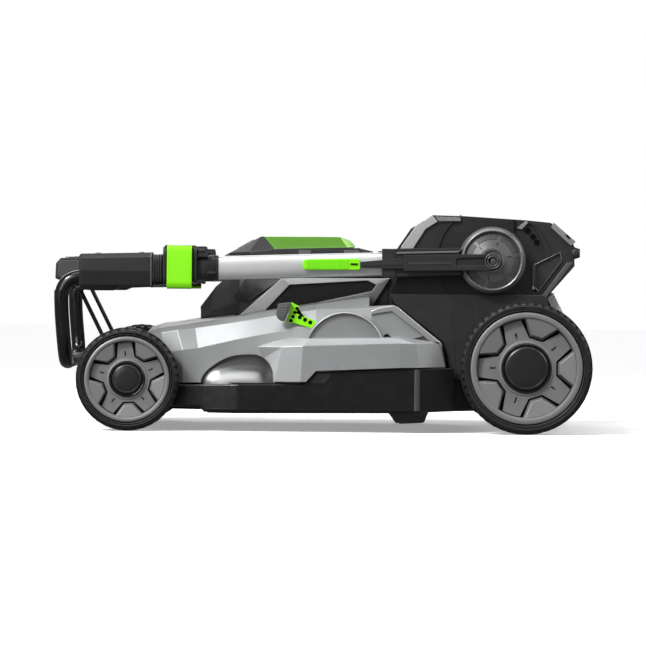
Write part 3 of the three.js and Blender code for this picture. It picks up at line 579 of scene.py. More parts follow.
# ---- shapes shared by the body and the handle -------------------------------------------
def arc(centre, r, start, stop, steps):
    """(x, z) points of a round stretch between two angles in degrees."""
    return [(centre[0] + r * math.cos(t), centre[1] + r * math.sin(t))
            for t in (math.radians(start + (stop - start) * k / steps) for k in range(steps + 1))]


def ribbon(inner, outer, y_in, y_out, y_back, edge=0.8):
    """Sloping band between two edges, as a closed form."""
    n = len(inner)
    pts = [(x, y_in, z) for x, z in inner] + [(x, y_out, z) for x, z in outer]
    pts += [(x, y_back, z) for x, z in inner] + [(x, y_back, z) for x, z in outer]
    faces = []
    for k in range(n - 1):
        faces.append([k, k + 1, n + k + 1, n + k])
        faces.append([2 * n + k, 3 * n + k, 3 * n + k + 1, 2 * n + k + 1])
        faces.append([n + k, n + k + 1, 3 * n + k + 1, 3 * n + k])
        faces.append([k, 2 * n + k, 2 * n + k + 1, k + 1])
    faces.append([0, n, 3 * n, 2 * n])
    faces.append([n - 1, 3 * n - 1, 4 * n - 1, 2 * n - 1])
    return bevel(poly(pts, faces), edge, 2, 12)


def frame_bar(outer, inner, y_out, y_in, y_back, edge):
    """Closed frame between two matching outlines, its face sloping from one to the other."""
    n = len(outer)
    pts = [(x, y_out, z) for x, z in outer] + [(x, y_in, z) for x, z in inner]
    pts += [(x, y_back, z) for x, z in outer] + [(x, y_back, z) for x, z in inner]
    faces = []
    for k in range(n):
        j = (k + 1) % n
        faces += [[k, j, n + j, n + k], [2 * n + k, 3 * n + k, 3 * n + j, 2 * n + j],
                  [k, 2 * n + k, 2 * n + j, j], [n + k, n + j, 3 * n + j, 3 * n + k]]
    return bevel(poly(pts, faces), edge, 3, 10)


def border(outline, width, y0, y1, edge):
    """Raised line round a closed outline."""
    n = len(outline)
    centre = Vector((sum(p[0] for p in outline) / n, sum(p[1] for p in outline) / n))
    inner = []
    for p in outline:
        v = Vector(p) - centre
        inner.append(tuple(centre + v * (1 - width / v.length)))
    return frame_bar(outline, inner, y0, y0, y1, edge)


def hull(stations, edge=0.0, segments=2, angle=24):
    """Skin over (x, half width, z) sections that run from the lower edge to the centre line."""
    rings = []
    for half in stations:
        left = [(x, -w, z) for x, w, z in half]
        right = [(x, w, z) for x, w, z in reversed(half)]
        rings.append(left + (right[1:] if half[-1][1] == 0 else right))
    return loft(rings, edge, segments, angle)


def section(x, *points):
    """Hull section with all its (half width, z) points at the same x."""
    return [(x, w, z) for w, z in points]


# ---- silver shell ---------------------------------------------------------------------
SHELL = [
    [(-401, 110, 63), (-401, 110, 71), (-399, 104, 75), (-397, 98, 78), (-397, 0, 80)],
    [(-388, 152, 67), (-388, 152, 84), (-386, 141, 90), (-384, 128, 94), (-384, 0, 97)],
    [(-350, 182, 77), (-350, 182, 106), (-349, 169, 117), (-348, 152, 124), (-348, 0, 128)],
    section(-300, (205, 81), (204, 132), (194, 160), (178, 170), (0, 177)),
    [(-274, 215, 82.4), (-272, 221, 134), (-276, 216, 168.5), (-278, 205, 177.3), (-278, 0, 184)],
    [(-237.5, 235, 82.6), (-237.5, 239, 139.2), (-248, 225, 173.5), (-246, 211, 182.3),
     (-246, 0, 188)],
    [(-211.6, 236, 83), (-211.6, 237, 142.7), (-217.1, 224, 177.2), (-212, 213, 187.5),
     (-212, 0, 194)],
    [(-147, 244, 83.5), (-147, 243.6, 158), (-150, 230, 187.5), (-147, 216, 196.9), (-147, 0, 205)],
    section(-112, (249, 84), (247, 165.4), (230, 193.8), (217, 203.2), (0, 212)),
    section(-77, (256, 84.5), (248, 172), (230, 200.5), (216, 209.7), (0, 219)),
    section(-35, (265, 85), (248, 180), (230, 207.5), (215, 216.3), (0, 226)),
    section(-8, (265, 104), (248, 184), (230, 211.5), (215, 220.6), (0, 230)),
    section(87, (264, 110), (243, 184), (234, 214), (213, 235.5), (0, 240)),
    section(127, (262, 111), (241, 180), (237, 214), (232, 219), (0, 236)),
    section(209, (238, 114), (236, 140), (235, 150), (232, 157), (0, 165)),
    section(217, (236, 114), (235, 116), (234, 117), (231, 119), (0, 121)),
]
ARCH = [(-206, 60), (-206, 90), (-195, 105), (-173, 121), (-152, 130), (-130, 132.5),
        (-110, 132.5), (-97, 127), (-87.5, 117), (-82, 105), (-79.5, 60)]


def shell():
    """Silver cover with the wheel arches, the housing's seat and the inside cut away."""
    arch = prism(fillet(ARCH, 10), -300, -222, 0)
    seat = block(-150, 135, -158.5, 158.5, 150, 330, 0)
    nose_seat = prism([(-216, -60), (-190, -90), (-142, -128), (-142, 128), (-190, 90),
                       (-216, 60)], 160, 330, 0, axis="z")
    inside = block(84, 300, -229.5, 229.5, 0, 400, 0)
    link_slot = block(-345, -255, -213, -193, 78, 142, 0)
    skin = carve(hull(SHELL), arch, mirrored(arch), seat, nose_seat, inside, link_slot)
    return tidy(skin, 1.1, 2, 9)


POD_POINTS = {
    "A": (-108, -252, 146.6), "N": (-55.9, -247, 164.7), "B": (-66.1, -260, 146.5),
    "M": (-79.2, -262, 86.2), "C": (-30, -269, 148.6), "L": (-33.6, -270.5, 86.7),
    "K": (-24.2, -270.5, 86.8), "J": (-7.2, -271, 105.8), "I": (139, -270.5, 112.5),
    "D": (136.8, -269, 154.7), "E": (164.3, -264, 154.1), "H": (171.6, -266, 112.9),
    "F": (205.6, -243, 157.1), "G": (216.3, -243, 113.9), "O": (-18.9, -262, 161.6),
    "P": (133.3, -262, 164.1), "N0": (-55.9, -232, 168), "A0": (-104.8, -232, 150),
    "F0": (205.6, -228, 158), "G0": (216.3, -228, 112), "M0": (-79.2, -232, 84),
    "Q": (-97, -252.6, 127.4), "R": (-86.6, -256, 116.4), "S": (-81.6, -259, 104.4),
    "Q0": (-97, -232, 127.4), "R0": (-86.6, -232, 116.4), "S0": (-81.6, -232, 104.4),
    "K0": (-24.2, -232, 84), "J0": (-7.2, -232, 104), "P0": (133.3, -232, 168),
}
POD_FACES = [
    "AQB", "QRB", "RSB", "SMB", "BCLM", "CDIJKL", "DEHI", "EFGH", "NOCB", "ANB", "OPDC", "PFE",
    "PED", "N N0 P0 P O", "P P0 F0 F", "A A0 N0 N", "A Q Q0 A0", "Q R R0 Q0", "R S S0 R0",
    "S M M0 S0", "M L K K0 M0", "K J J0 K0", "J I H G G0 J0", "G F F0 G0",
    "A0 Q0 R0 S0 M0 K0 J0 G0 F0 P0 N0",
]


def faceted(points, faces, edge):
    """A closed form from named corners; a face names its corners, spaced if longer than a letter."""
    names = list(points)
    split = [f.split() if " " in f else list(f) for f in faces]
    bm = poly([points[n] for n in names], [[names.index(c) for c in f] for f in split])
    return bevel(bm, edge, 2, 8)


def half_boss():
    """Half-round boss that the height lever comes out of."""
    r = 70.5
    full = lathe([(0, -254.2), (r - 6.4, -254.2), (r - 5.6, -257), (r - 4.8, -259.4),
                  (r - 3.6, -260.4), (r - 2.4, -259.8), (r - 0.4, -257.6), (r, -256.2),
                  (r, -236), (0, -236)],
                 LEVER, 128)
    return carve(full, block(-60, 150, -262, -230, 150, 230, 0), keep=True)


FIN_EDGE = [(86.8, 211), (100, 216.5), (124.7, 220.6), (133.4, 217.2), (206.7, 157.4)]
FIN_PANEL = [(86.8, 203.5), (100, 206.4), (122.4, 209.8), (127, 206.4), (178, 167.5)]


def ridge():
    """Raised fin behind the boss: a rim along its top and rear edges round a sunk panel."""
    rim = prism(FIN_EDGE + [(190, 157)] + FIN_PANEL[::-1], -248, -229.6, 1.0, 2)
    panel = prism(FIN_PANEL + [(150, 160), (105, 163), (96, 190)], -244.6, -229.6, 0.4, 1)
    return merged(rim, panel)


def ridge_highlight_bead():
    """Thin raised strip along the outer edge of the fin, in bright aluminium as a painted highlight.
    """
    inside = [(87.4, 209), (100.6, 214.5), (124.4, 218.4), (132.4, 215.4), (203.8, 157.2)]
    return ribbon(inside, FIN_EDGE, -248.5, -247.4, -240, 0.4)


def fender():
    """Glossy fender behind the arch, flaring out towards the skirt."""
    front, length = -209, 133
    base, height = 80, 56
    inside, widest = 226, 31.0
    steps = 14
    rings = []
    for k in range(steps + 1):
        t = k / steps
        x = front + length * t
        taper = min(1.0, t / 0.22) ** 0.7 * min(1.0, 5 * (1 - t)) ** 0.5
        reach = min(widest, 14 + (x + 200) * 0.33)
        rings.append([(x, -(inside + reach * taper * (1 - v) ** 2.3), base + height * v)
                      for v in (j / steps for j in range(steps + 1))])
    skin = loft(rings, caps=False, closed=False)
    bmesh.ops.recalc_face_normals(skin, faces=skin.faces)
    if sum(f.normal.y for f in skin.faces) > 0:
        bmesh.ops.reverse_faces(skin, faces=skin.faces)
    return skin


def shell_parts():
    """Shell with a side pod, boss and fin on each side, a near-black wedge that paints the shadow
    behind the boss, and a painted highlight strip along each fin.
    """
    details = merged(faceted(POD_POINTS, POD_FACES, 1.0), half_boss(), ridge())
    # Near-black wedge where the boss meets the pod: a painted shadow.
    gap = prism([(108.5, 165), (110.6, 170), (116, 170.6), (122, 165.4)], -250, -244, 0.3)
    return [(merged(shell(), both(details)), "silver"), (both(ridge_highlight_bead()), "aluminium"),
            (both(gap), "dark")]


piece("deck_shell_look", shell_parts(), "deck", ["deck_shell"])


# ---- black lower deck -----------------------------------------------------------------
SKIRT = [(-262, -236, 41, 79), (-207, -243, 41, 80.4), (-200, -244, 33, 80.8),
         (-146, -262, 33, 81.6), (-141, -263.4, 33, 81.6), (-24, -264, 33.6, 83.6),
         (-7, -264, 33.8, 104.4), (139, -264.6, 35, 111.4), (162, -264.4, 36, 112),
         (171, -262.6, 36, 112.2), (231, -240.6, 38, 113)]


def lower_trim():
    """The skirt's side panel, lip, facet, foot plate, seam bead and rear corner; the facet's lighter
    grey is painted light, and the rear corner's lighter grey is a painted highlight.
    """
    panel = loft([[(x, y + 2, low), (x, y, low + 3), (x, y, top - 1.6), (x, y + 1.6, top),
                   (x, y + 7.6, top), (x, y + 7.6, low)] for x, y, low, top in SKIRT], 0.9, 2, 8)
    lip = prism(fillet([(-196, 36.6), (118, 38.4), (118, 41), (-196, 38.8)], 0.5), -264.4, -240, 0.5)
    # The facet is body grey, lighter than the skirt: painted light on a flat face.
    facet = prism(fillet([(-5, 102), (22, 102.7), (9, 84), (-19, 85)], 1), -265.2, -260, 0.6)
    foot_plate = prism(fillet([(117.4, 37), (136.5, 16.2), (179.5, 18.4), (187.9, 39)], 4),
                       -261.5, -236, 1.2)
    bead = lathe([(0, 36), (1.4, 37), (1.4, 79), (0, 80)], (-143.6, -262.8), 16, "z")
    # The rounded rear corner is lighter mid grey: a painted highlight down the corner.
    corner = lathe([(0, 37), (9.2, 38.6), (9.2, 110), (0, 111)], (165.4, -255.7), 48, "z")
    return [(merged(panel, lip, foot_plate, bead), "black"), (facet, "grey"), (corner, "mid")]


def lower_parts():
    """CAD deck with room for the fenders, and its trim on both sides."""
    room = block(-214, -76, -262, -224, 84.4, 140, 0)
    deck = tidy(carve(of_node("deck_lower"), room, mirrored(room)), 0.7, 2, 35)
    trim = [(both(bm), material) for bm, material in lower_trim()]
    return [(deck, "black"), *trim, (both(fender()), "fender")]


piece("deck_lower_look", lower_parts(), "deck", ["deck_lower"])


# ---- motor and battery housing ----------------------------------------------------------
BODY = [
    [(-214, 36, 188), (-212.2, 44, 200.4), (-215, 46, 212.8), (-208, 38, 216), (-208, 0, 217)],
    [(-190, 82, 191.5), (-195.5, 86, 205.9), (-186, 76, 250), (-178, 62, 257), (-178, 0, 258)],
    [(-160, 110, 192), (-166, 108, 215), (-164, 98, 247), (-152, 84, 280), (-152, 0, 282)],
    [(-143, 122, 190), (-143, 127, 222), (-143, 113, 263), (-138, 90, 299), (-138, 0, 301)],
    [(-67, 148, 198), (-67, 149, 230), (-67, 147, 265), (-64, 99, 301.4), (-64, 0, 301.6)],
    section(118, (148, 214), (149, 240), (147, 266), (99, 301.4), (0, 301.6)),
]
TRIM_OUT = [(-143.6, 199), (-68, 265.6), (96, 266.6), (121, 267), (89, 216), (20, 210)]
TRIM_IN = [(-97, 208.5), (-55, 253.6), (80.5, 262.4), (96.5, 254.8), (88.5, 243.8), (-39, 216.2)]


def side_trim():
    """Silver band that frames the insert panel."""
    return frame_bar(TRIM_OUT, TRIM_IN, -154, -157.5, -147, 1.2)


def insert_panel():
    """Plain glossy panel with a raised field."""
    face = prism(fillet([(-95.4, 209.2), (-54, 252.9), (80.2, 261.6), (95.4, 254.5),
                         (87.8, 244.6), (-39, 217.2)], 5), -153.8, -148, 0.9, 3)
    step = prism(fillet([(-82, 216), (-52, 245.5), (74, 254.6), (84, 250.5), (78, 246),
                         (-38, 222.5)], 4), -154.6, -150, 0.6, 2)
    return [(merged(face, step), "gloss")]


def nose_panel():
    """Plain glossy panel that lies on the sloping side of the nose."""
    corners = [(x, -117.5 - 0.4545 * (x + 133) + 0.295 * (z - 263), z) for x, z in (
        (-133, 264), (-67, 264), (-130, 222), (-147.6, 223.4), (-154, 232.6))]
    outside = [(x, y - 4, z) for x, y, z in corners]
    inside = [(x + 3, y + 9, z) for x, y, z in corners]
    return bevel(slab(outside, inside), 1.2, 3, 30)


def body_parts():
    """Housing with its battery bay cut out, a rim line, rear wall, vent bars and nose panels."""
    body = tidy(carve(hull(BODY), block(-104, 54, -58, 58, 221, 330, 0)), 1.8, 3, 12)
    rim = both(prism(fillet([(-60, 268), (112, 269), (112, 274), (-60, 273)], 1), -148, -140, 0.8))
    rear_wall = block(110, 137, -147, 147, 204, 297, 2)
    bars = [block(100 + 4.2 * k, 102 + 4.2 * k, -70, 70, 300.5, 303.2, 0.5) for k in range(4)]
    return [(merged(body, rim, rear_wall, *bars), "grey"), (both(nose_panel()), "gloss")]


piece("body_housing_look", body_parts(), "deck", ["body_housing"])
pair("side_trim", [(side_trim(), "silver")], ("deck", "deck"), ["side_trim"])
pair("insert_panel", insert_panel(), ("deck", "deck"), ["insert_panel"])


# ---- battery lid ------------------------------------------------------------------------
LID_GREEN = [
    [(-82, 91, 316.4), (-83, 90, 318), (-102.5, 70, 338.6), (-102.5, 0, 340)],
    [(46, 91, 320), (46, 90, 321.6), (33, 68, 339), (33, 0, 340)],
]
LID_END = [
    [(45.6, 91, 320), (45.6, 90, 321.6), (32.6, 68, 339), (32.6, 0, 340)],
    [(51, 89, 321), (51, 88, 322.6), (49, 66, 334), (49, 0, 334.6)],
    [(58, 87, 321.4), (59, 86, 322.2), (60, 66, 323.4), (60, 0, 323.6)],
]
LID_NOSE = [
    [(-173, 40, 302.6), (-174, 40, 303.4), (-172, 34, 304.2), (-172, 0, 304.6)],
    [(-163, 62, 302.6), (-163, 62, 309.6), (-160, 50, 311), (-160, 0, 311.6)],
    [(-124, 93, 302.6), (-126, 92, 311), (-108, 64, 338.6), (-108, 0, 339.6)],
    [(-82, 93, 302.6), (-82.4, 92, 316.2), (-103, 70, 338.8), (-103, 0, 339.8)],
]


def lid_parts():
    """Green lid with its pale rear end, dark nose, base, finger pads, latch and hinge."""
    green = hull(LID_GREEN, 1.6, 3, 10)
    end_green = hull(LID_END, 1.6, 3, 10)
    nose = hull(LID_NOSE, 1.6, 3, 10)
    base = hull([section(-84, (92, 302.6), (92.6, 306), (92, 316), (0, 316)),
                 section(68, (91, 302.6), (91.6, 306), (90, 320), (0, 320))], 1.2, 2, 20)
    tail = hull([section(66, (89, 302.6), (89, 316), (70, 320), (0, 320)),
                 [(94, 86, 302.6), (94, 86, 309), (92, 68, 314), (92, 0, 314.6)]], 1.4, 3, 12)
    pads = both(merged(block(-40, -18.6, -93.4, -88, 307, 315, 0.8),
                       block(40, 67, -92.6, -88, 308, 316, 0.8)))
    ridge_line = both(prism([(-96, 339.4), (28, 339.8), (40, 337.2), (40, 335), (-96, 336)],
                            -40, -36, 0.6))
    latch = hull([[(-150, 26, 313), (-150, 25, 317.5), (-149, 20, 319), (-149, 0, 319)],
                  [(-122, 26, 326), (-122, 25, 333), (-121, 20, 334.5), (-121, 0, 334.5)]],
                 1.2, 2, 15)
    knuckle = lathe([(0, -86), (5.4, -86), (6, -85.4), (6, 85.4), (5.4, 86), (0, 86)],
                    (101, 306), 24)
    tongue = block(88, 101, -84, 84, 302.8, 311, 0.8)
    return [(green, "lid"), (merged(end_green, ridge_line), "pale"),
            (merged(nose, base, tail, knuckle, tongue, latch), "grey"), (pads, "disc")]


piece("battery_lid_look", lid_parts(), "lid", ["battery_lid"])


def battery():
    """Ribbed battery pack with a carrying handle."""
    pack = hull([section(-98, (46, 222.4), (46, 262), (42, 296), (0, 299)),
                 section(44, (46, 222.4), (46, 262), (42, 296), (0, 299))], 3, 3, 12)
    ribs = both(merged(*[block(-86 + 12 * k, -81 + 12 * k, -46.6, -44, 230, 290, 0.8)
                         for k in range(10)]))
    handle = tidy(carve(prism(fillet([(-80, 296), (20, 296), (10, 322), (-70, 322)], 8), -14, 14, 0),
                        prism(fillet([(-62, 303), (4, 303), (-2, 315), (-56, 315)], 4), -20, 20, 0)),
                  2.2, 3)
    return merged(pack, ribs, handle)


piece("battery_pack_look", [(battery(), "grey")], "deck", ["battery_pack"])


# ---- rear housing -----------------------------------------------------------------------
FRONT_IN = [(157, 300), (159.5, 319.7), (180.1, 352.5), (201, 365.9)]
FRONT_OUT = [(134, 300), (138, 321), (164, 359.5), (192, 376.6)]
BACK_IN = [(397.8, 357.4), (432.8, 326)]
BACK_OUT = [(402, 366.6), (441, 333.4)]
SCOOP = [(369.4, 293.6), (415.1, 315.5), (417.5, 299.9), (376.4, 245.6), (369.4, 252.5)]


def tower_trim():
    """Everything on the outside of the left tower: bands, sunk triangle, seams, clip and holes, with
    painted shade in the holes and the slot.
    """
    cover_centre = (340, 312)
    silver = ribbon(FRONT_IN, FRONT_OUT, -208.8, -206, -192)
    rear_band = ribbon(BACK_IN, BACK_OUT, -208.6, -207.4, -195)
    edging = [border(SCOOP, 2.4, -207.4, -203, 0.8),
              ribbon([(426, 297), (379, 233)], [(437, 298), (388.6, 234)], -207.6, -206, -200, 0.6),
              ribbon([(203, 366.4), (241, 367.2)], [(196, 375), (240.4, 374)], -209, -206, -200, 0.5)]
    arc_line = prism(arc(FOLD, 95.4, 124, 176, 24) + arc(FOLD, 93.8, 176, 124, 24),
                     -206.2, -203, 0.3, 1)
    cover = arc(cover_centre, 58, 75, 18, 12) + [(398, 318), (398, 300), (396.6, 300)]
    cover_line = prism(cover + arc(cover_centre, 56.6, 12, 75, 12), -206.4, -203, 0.3, 1)
    knob = lathe([(0, -209), (6, -209), (7.2, -207.6), (7.2, -190), (0, -190)], (441, 313.6), 32)
    floor = prism(SCOOP, -203.6, -189, 0)
    clip = prism(fillet([(338.2, 355.7), (354, 368.7), (358.3, 365.7), (346.9, 354.1)], 1), -208.8,
                 -204, 0.7)
    # Each hole holds a near-black cup: painted shade inside the hole.
    shade_wells = [lathe([(0, -205.3), (4.9, -205.3), (4.9, -199)], hole, 24)
             for hole in ((357.7, 351.7), (366.6, 341.8), (373.5, 332))]
    # The slot is a near-black strip: painted shade in it.
    slot = prism([(423, 344), (429.4, 338), (431.6, 340.4), (425.2, 346.4)], -208.8, -205, 0.2)
    gap = block(333.6, 334.8, -207.4, -203, 350, 371, 0)
    return [(silver, "silver"), (rear_band, "rim"), (merged(*edging), "disc"),
            (merged(arc_line, cover_line, knob, floor), "grey"),
            (clip, "silver"), (merged(slot, gap, *shade_wells), "dark")]


def rear_panel_trim():
    """Ribs and seams on the tall black side panel in front of the rear wheel."""
    seams = [prism([(x, 118), (x + 1.2, 118), (x - 4.8, 226), (x - 6, 226)], -227, -220, 0.4)
             for x in (232, 268, 300)]
    lip = ribbon([(133, 221), (214, 155), (224, 118)], [(128, 226), (210, 158), (219, 119)],
                 -227.4, -222, -219, 0.6)
    return merged(*seams, lip)


def rear_parts():
    """CAD housing with the panel and tower trim on both sides, and ribs across the duct's top."""
    trim = [(both(bm), material) for bm, material in tower_trim()]
    ribs = [block(146 + 26 * k, 152 + 26 * k, -168, 168, 238.6, 242.4, 0.8) for k in range(9)]
    return [(of_node("rear_housing", 0.7, 35), "grey"), (both(rear_panel_trim()), "grey"), *trim,
            (merged(*ribs), "grey")]


piece("rear_housing_look", rear_parts(), "deck", ["rear_housing"])


def door_line(offset):
    """The door's outer side profile, moved out by an offset."""
    return [(402 + offset * 0.6, 243 + offset * 0.6), (418 + offset, 210), (431 + offset, 170),
            (437 + offset, 132), (436 + offset, 101)]


def door():
    """Rear door with side edges in bright aluminium, a painted highlight on them, and dark ribs."""
    skin = of_node("rear_door", 0.8, 35)
    rib = door_line(2.4)[1:] + door_line(-1.5)[:0:-1]
    ribs = [prism(rib, y - 2.2, y + 2.2, 0.9) for y in (-164, -110, -55, 0, 55, 110, 164)]
    # The side edges are bright aluminium rather than silver: painted light on edges that would lie in
    # shade.
    edges = both(prism(door_line(3.6) + door_line(-14)[::-1], -186.4, -178.4, 1.0))
    low = prism([(439, 101), (440, 112), (436, 112), (434, 101)], -174, 174, 1.0)
    return [(skin, "silver"), (edges, "aluminium"), (merged(*ribs, low), "grey")]


piece("rear_door_look", door(), "door", ["rear_door"])


def flap_parts():
    """CAD side flap with five upright ribs."""
    rib = [(273, 97), (276, 96), (284, 51), (281, 50)]
    ribs = [prism(rib, x, x + 2.4, 0.6, 2, "x") for x in (4, 30, 53, 76, 102)]
    return [(merged(of_node("side_flap", 0.8, 30), *ribs), "black")]


piece("side_flap_look", flap_parts(), "flap", ["side_flap"])


# ---- handle: disc, arm, tubes -------------------------------------------------------------
def pivot_disc():
    """Folding joint's disc: ring, coned face, six plates with a crease in each, and the pin."""
    ring = lathe([(50, -229), (57.6, -229), (58, -230), (58, -238), (56, -241.4), (52.4, -244.8),
                  (51, -245.2), (49.4, -244.4), (48.6, -240), (48.4, -229)], FOLD, 128, closed=True)
    face = lathe([(0, -230), (49, -230), (48.6, -238.8), (47.4, -239), (22.6, -247.6),
                  (21.4, -249.2), (19.2, -249.8), (17.2, -249.2), (16.2, -247), (11, -246.6),
                  (0, -246.6)], FOLD, 128)
    plates = [ribbon(arc(FOLD, 36, mid - 26, mid + 26, 10), arc(FOLD, 47, mid - 26, mid + 26, 10),
                     -243.8, -240, -236, 0.5) for mid in range(105, 465, 60)]
    near, far, half = 24.5, 33.6, 0.5
    disc = {"x": FOLD[0], "z": FOLD[1]}
    crease = [(near, -half), (far, -half), (far, half), (near, half)]
    creases = [prism(local_outline(disc, crease, 75 + 60 * k), -247.2, -242, 0.2, 1)
               for k in range(6)]
    pin = lathe([(9, -240), (9, -184), (8, -183.2), (0, -183)], FOLD, 28)
    return [(merged(ring, face, pin), "disc"), (merged(*plates, *creases), "mid")]


def hub_rings():
    """Thin machined rings round the pivot bolt."""
    rings = [lathe([(r + 0.9, y + 2), (r + 0.8, y), (r, y - 0.5), (r - 0.8, y), (r - 0.9, y + 2)],
                   (295, 298), 64) for r, y in ((12.6, -256.6), (8.6, -257))]
    return merged(*rings)


ARM_SIDE = [(112, 269.4), (112, 316), (130, 318), (250, 321), (290, 326), (318, 310), (322, 290),
            (300, 274), (258, 274), (130, 269.2)]
LEVER_PLATE = [(142, 279.4), (142, 307), (287, 310.2), (300, 308), (306.5, 301), (307, 292),
               (301, 284), (290, 281.9)]


def arm_parts():
    """Lower arm: channel round the disc, collar on the tube, and the cover plate with its bolt."""
    hole_centre = (286.8, 299.2)
    seat = lathe([(0, -300), (58.6, -300), (58.6, -228.4), (0, -228.4)], FOLD, 96)
    channel = tidy(carve(prism(ARM_SIDE, -246, -209, 0), seat), 1.2, 2, 30)
    eye = lathe([(0, -228), (30, -228), (30, -209), (0, -209)], FOLD, 48)
    collar = block(104.6, 129, -248, -207.4, 268.4, 317.6, 1.6, 3)
    # The upper facet is lighter mid grey and the lower one body grey: painted light on the upper
    # facet.
    facet = ribbon([(129, 309), (236, 312.4)], [(129, 317.4), (246, 320.6)], -249, -241, -236, 0.6)
    low = ribbon([(129, 279), (236, 280)], [(129, 269.6), (252, 273.6)], -249, -241, -236, 0.6)
    recess = prism(fillet([(232, 288.6), (232, 302), (292, 304.2), (292, 291)], 4), -262, -253.4, 0)
    hole = lathe([(0, -262), (2.9, -262), (2.9, -249), (0, -249)], hole_centre, 24)
    plate = tidy(carve(prism(fillet(LEVER_PLATE, [2, 2, 4, 6, 6, 6, 6, 4]), -256, -246, 0),
                       recess, hole), 1.2, 2, 35)
    groove = ribbon([(150, 290), (224, 292)], [(150, 297), (224, 299)], -256.8, -255.6, -250, 0.4)
    bolt = screw(296, 297, -256, 4)
    # Near-black disc at the bottom of the pin hole: painted shade inside the hole.
    hole_shade = lathe([(2.9, -249.4), (2.9, -250.6), (0, -250.6)], hole_centre, 28)
    return [(merged(channel, eye, collar, low, plate, groove), "grey"), (facet, "mid"),
            (bolt, "disc"), (hub_rings(), "mid"), (hole_shade, "dark")]


def tube_z(x):
    """Height of the tube's middle, which rises slightly towards the rear."""
    return 281.5 + TUBE_SLOPE * (x + 168)


def oval(x, half_high, half_wide, dz, power):
    """Squared-off oval section across the handle tube, dz above its middle."""
    ring, count = [], 40
    for k in range(count):
        t = 2 * math.pi * k / count
        c, s = math.cos(t), math.sin(t)
        ring.append((x, TUBE_Y + half_wide * math.copysign(abs(c) ** (2 / power), c),
                     tube_z(x) + dz + half_high * math.copysign(abs(s) ** (2 / power), s)))
    return ring


def sleeve(spans, power):
    """Closed loft through (x, half height, half width, height offset) stations."""
    return loft([oval(*span, power) for span in spans])


def fluted(start, pitch, count, valley, crest, spots):
    """Sleeve stations of round ribs: each rises to the crest and falls back to the valley."""
    spans = []
    for k in range(count):
        x = start + pitch * k
        for dx, (high, wide) in zip(spots, (valley, crest, crest, valley)):
            spans.append((x + dx, high, wide, 0))
    return spans


def outer_tube():
    """Wider tube that the inner one slides in."""
    return [(sleeve([(-228, 20.5, 15, 0), (145, 20.5, 15, 0)], 2.7), "aluminium")]


def inner_tube():
    """Tube that slides out of the outer one."""
    return [(sleeve([(-318, 17.8, 12.3, 0), (60, 17.8, 12.3, 0)], 2.7), "aluminium")]


def clamp_parts():
    """Tube clamp: two end plates, barrel, fluted collar and adjusting knob.

    The guard is a guess that the photo doesn't show. It covers most of the far clamp's lever,
    which would otherwise be seen under the near clamp.
    """
    plates = [bevel(sleeve([(x, 33, 29, 6.6), (x + 6, 33, 29, 6.4)], 5.5), 1.4, 3, 50)
              for x in (-272.6, -220.4)]
    barrel = sleeve([(-268, 30, 26.5, 5), (-219, 30, 26.5, 5)], 5)
    top = block(-270, -217, -252, -206, 314.5, 320, 1.6, 3)
    guard = block(-265, -223, -252.2, -249.2, 249.4, 262, 0.8)
    ribs = fluted(-201, 3.3, 7, (21.4, 16.4), (23, 18), (0, 0.5, 1.9, 2.4))
    collar = sleeve([(-214.6, 22, 17, 0), (-201.2, 22, 17, 0), *ribs, (-177.4, 21.2, 16, 0)], 3)
    lug_block = prism(fillet([(-214, 301), (-214, 318.4), (-197, 318.4), (-195, 306), (-195, 299)],
                             3), -250.4, -240, 1.0)
    knob = lathe([(0, -216), (5.2, -216), (6, -215), (6, -201.4), (5.2, -199.6), (4, -199), (0, -199)],
                 (-245.6, 311), 28, "x")
    flutes = [turned_x(block(-212, -202, -251.4, -250.6, 310, 312, 0), 30 * k, -245.6, 311)
              for k in range(12)]
    seam = block(-196, -182, -247.6, -244, 271, 275, 0.8)
    return merged(*plates, barrel, top, guard, collar, lug_block, knob, *flutes, seam)


def turned_x(bm, degrees, y, z):
    """Turns a mesh about an axis along x."""
    bmesh.ops.rotate(bm, cent=(0, y, z), matrix=Matrix.Rotation(math.radians(degrees), 3, "X"),
                     verts=bm.verts)
    return bm


CAM_LEVER = [(-250, 319.2), (-257.5, 319.2), (-262.2, 316), (-263.9, 309), (-263.9, 256.6),
             (-263.4, 252), (-260.6, 246.6), (-256.4, 244.5), (-253.2, 245.6), (-253.8, 248.6),
             (-257.4, 251.4), (-259.3, 256.6), (-259.3, 307), (-257.4, 312.6), (-250, 314.6)]


def cam_parts():
    """Lime lever that wraps down the outside of the clamp and hooks under it."""
    wrap = prism(CAM_LEVER, -265.6, -222.6, 1.1, 3, "x")
    line = [(-264.3, 262), (-264.3, 300), (-263.5, 300), (-263.5, 262)]
    lines = [prism(line, x, x + 0.9, 0.2, 1, "x") for x in (-261.6, -226.6)]
    return [(merged(wrap, *lines), "lime")]


def release_parts():
    """Ribbed thumb tab that slides along the tube, and the strip that leads back to the arm."""
    tab = prism(fillet([(-33, 289), (-31, 296), (-25, 298), (66, 300), (67.5, 280.4), (-24, 279.4),
                        (-31, 282)], [1, 2, 3, 4, 4, 3, 2]), -252.6, -244, 1.3, 3)
    ribs = [block(x, x + 1.5, -254, -250, 281.6, 297 + (x + 28) * 0.02, 0.5)
            for x in (-26 + 3.1 * k for k in range(24))]
    # Near-black block: painted shade in the slot.
    slot = block(50.5, 63, -254.2, -250, 289.2, 291.8, 0.4)
    strip = prism([(67, 284), (67, 294.2), (157.9, 303.7), (158.1, 283.1)], -252.4, -247.4, 0.7)
    spine = prism([(72, 287), (72, 290), (152, 296), (152, 290)], -253.4, -250, 0.4)
    return [(merged(tab, *ribs), "lime"), (slot, "dark"), (merged(strip, spine), "grey")]


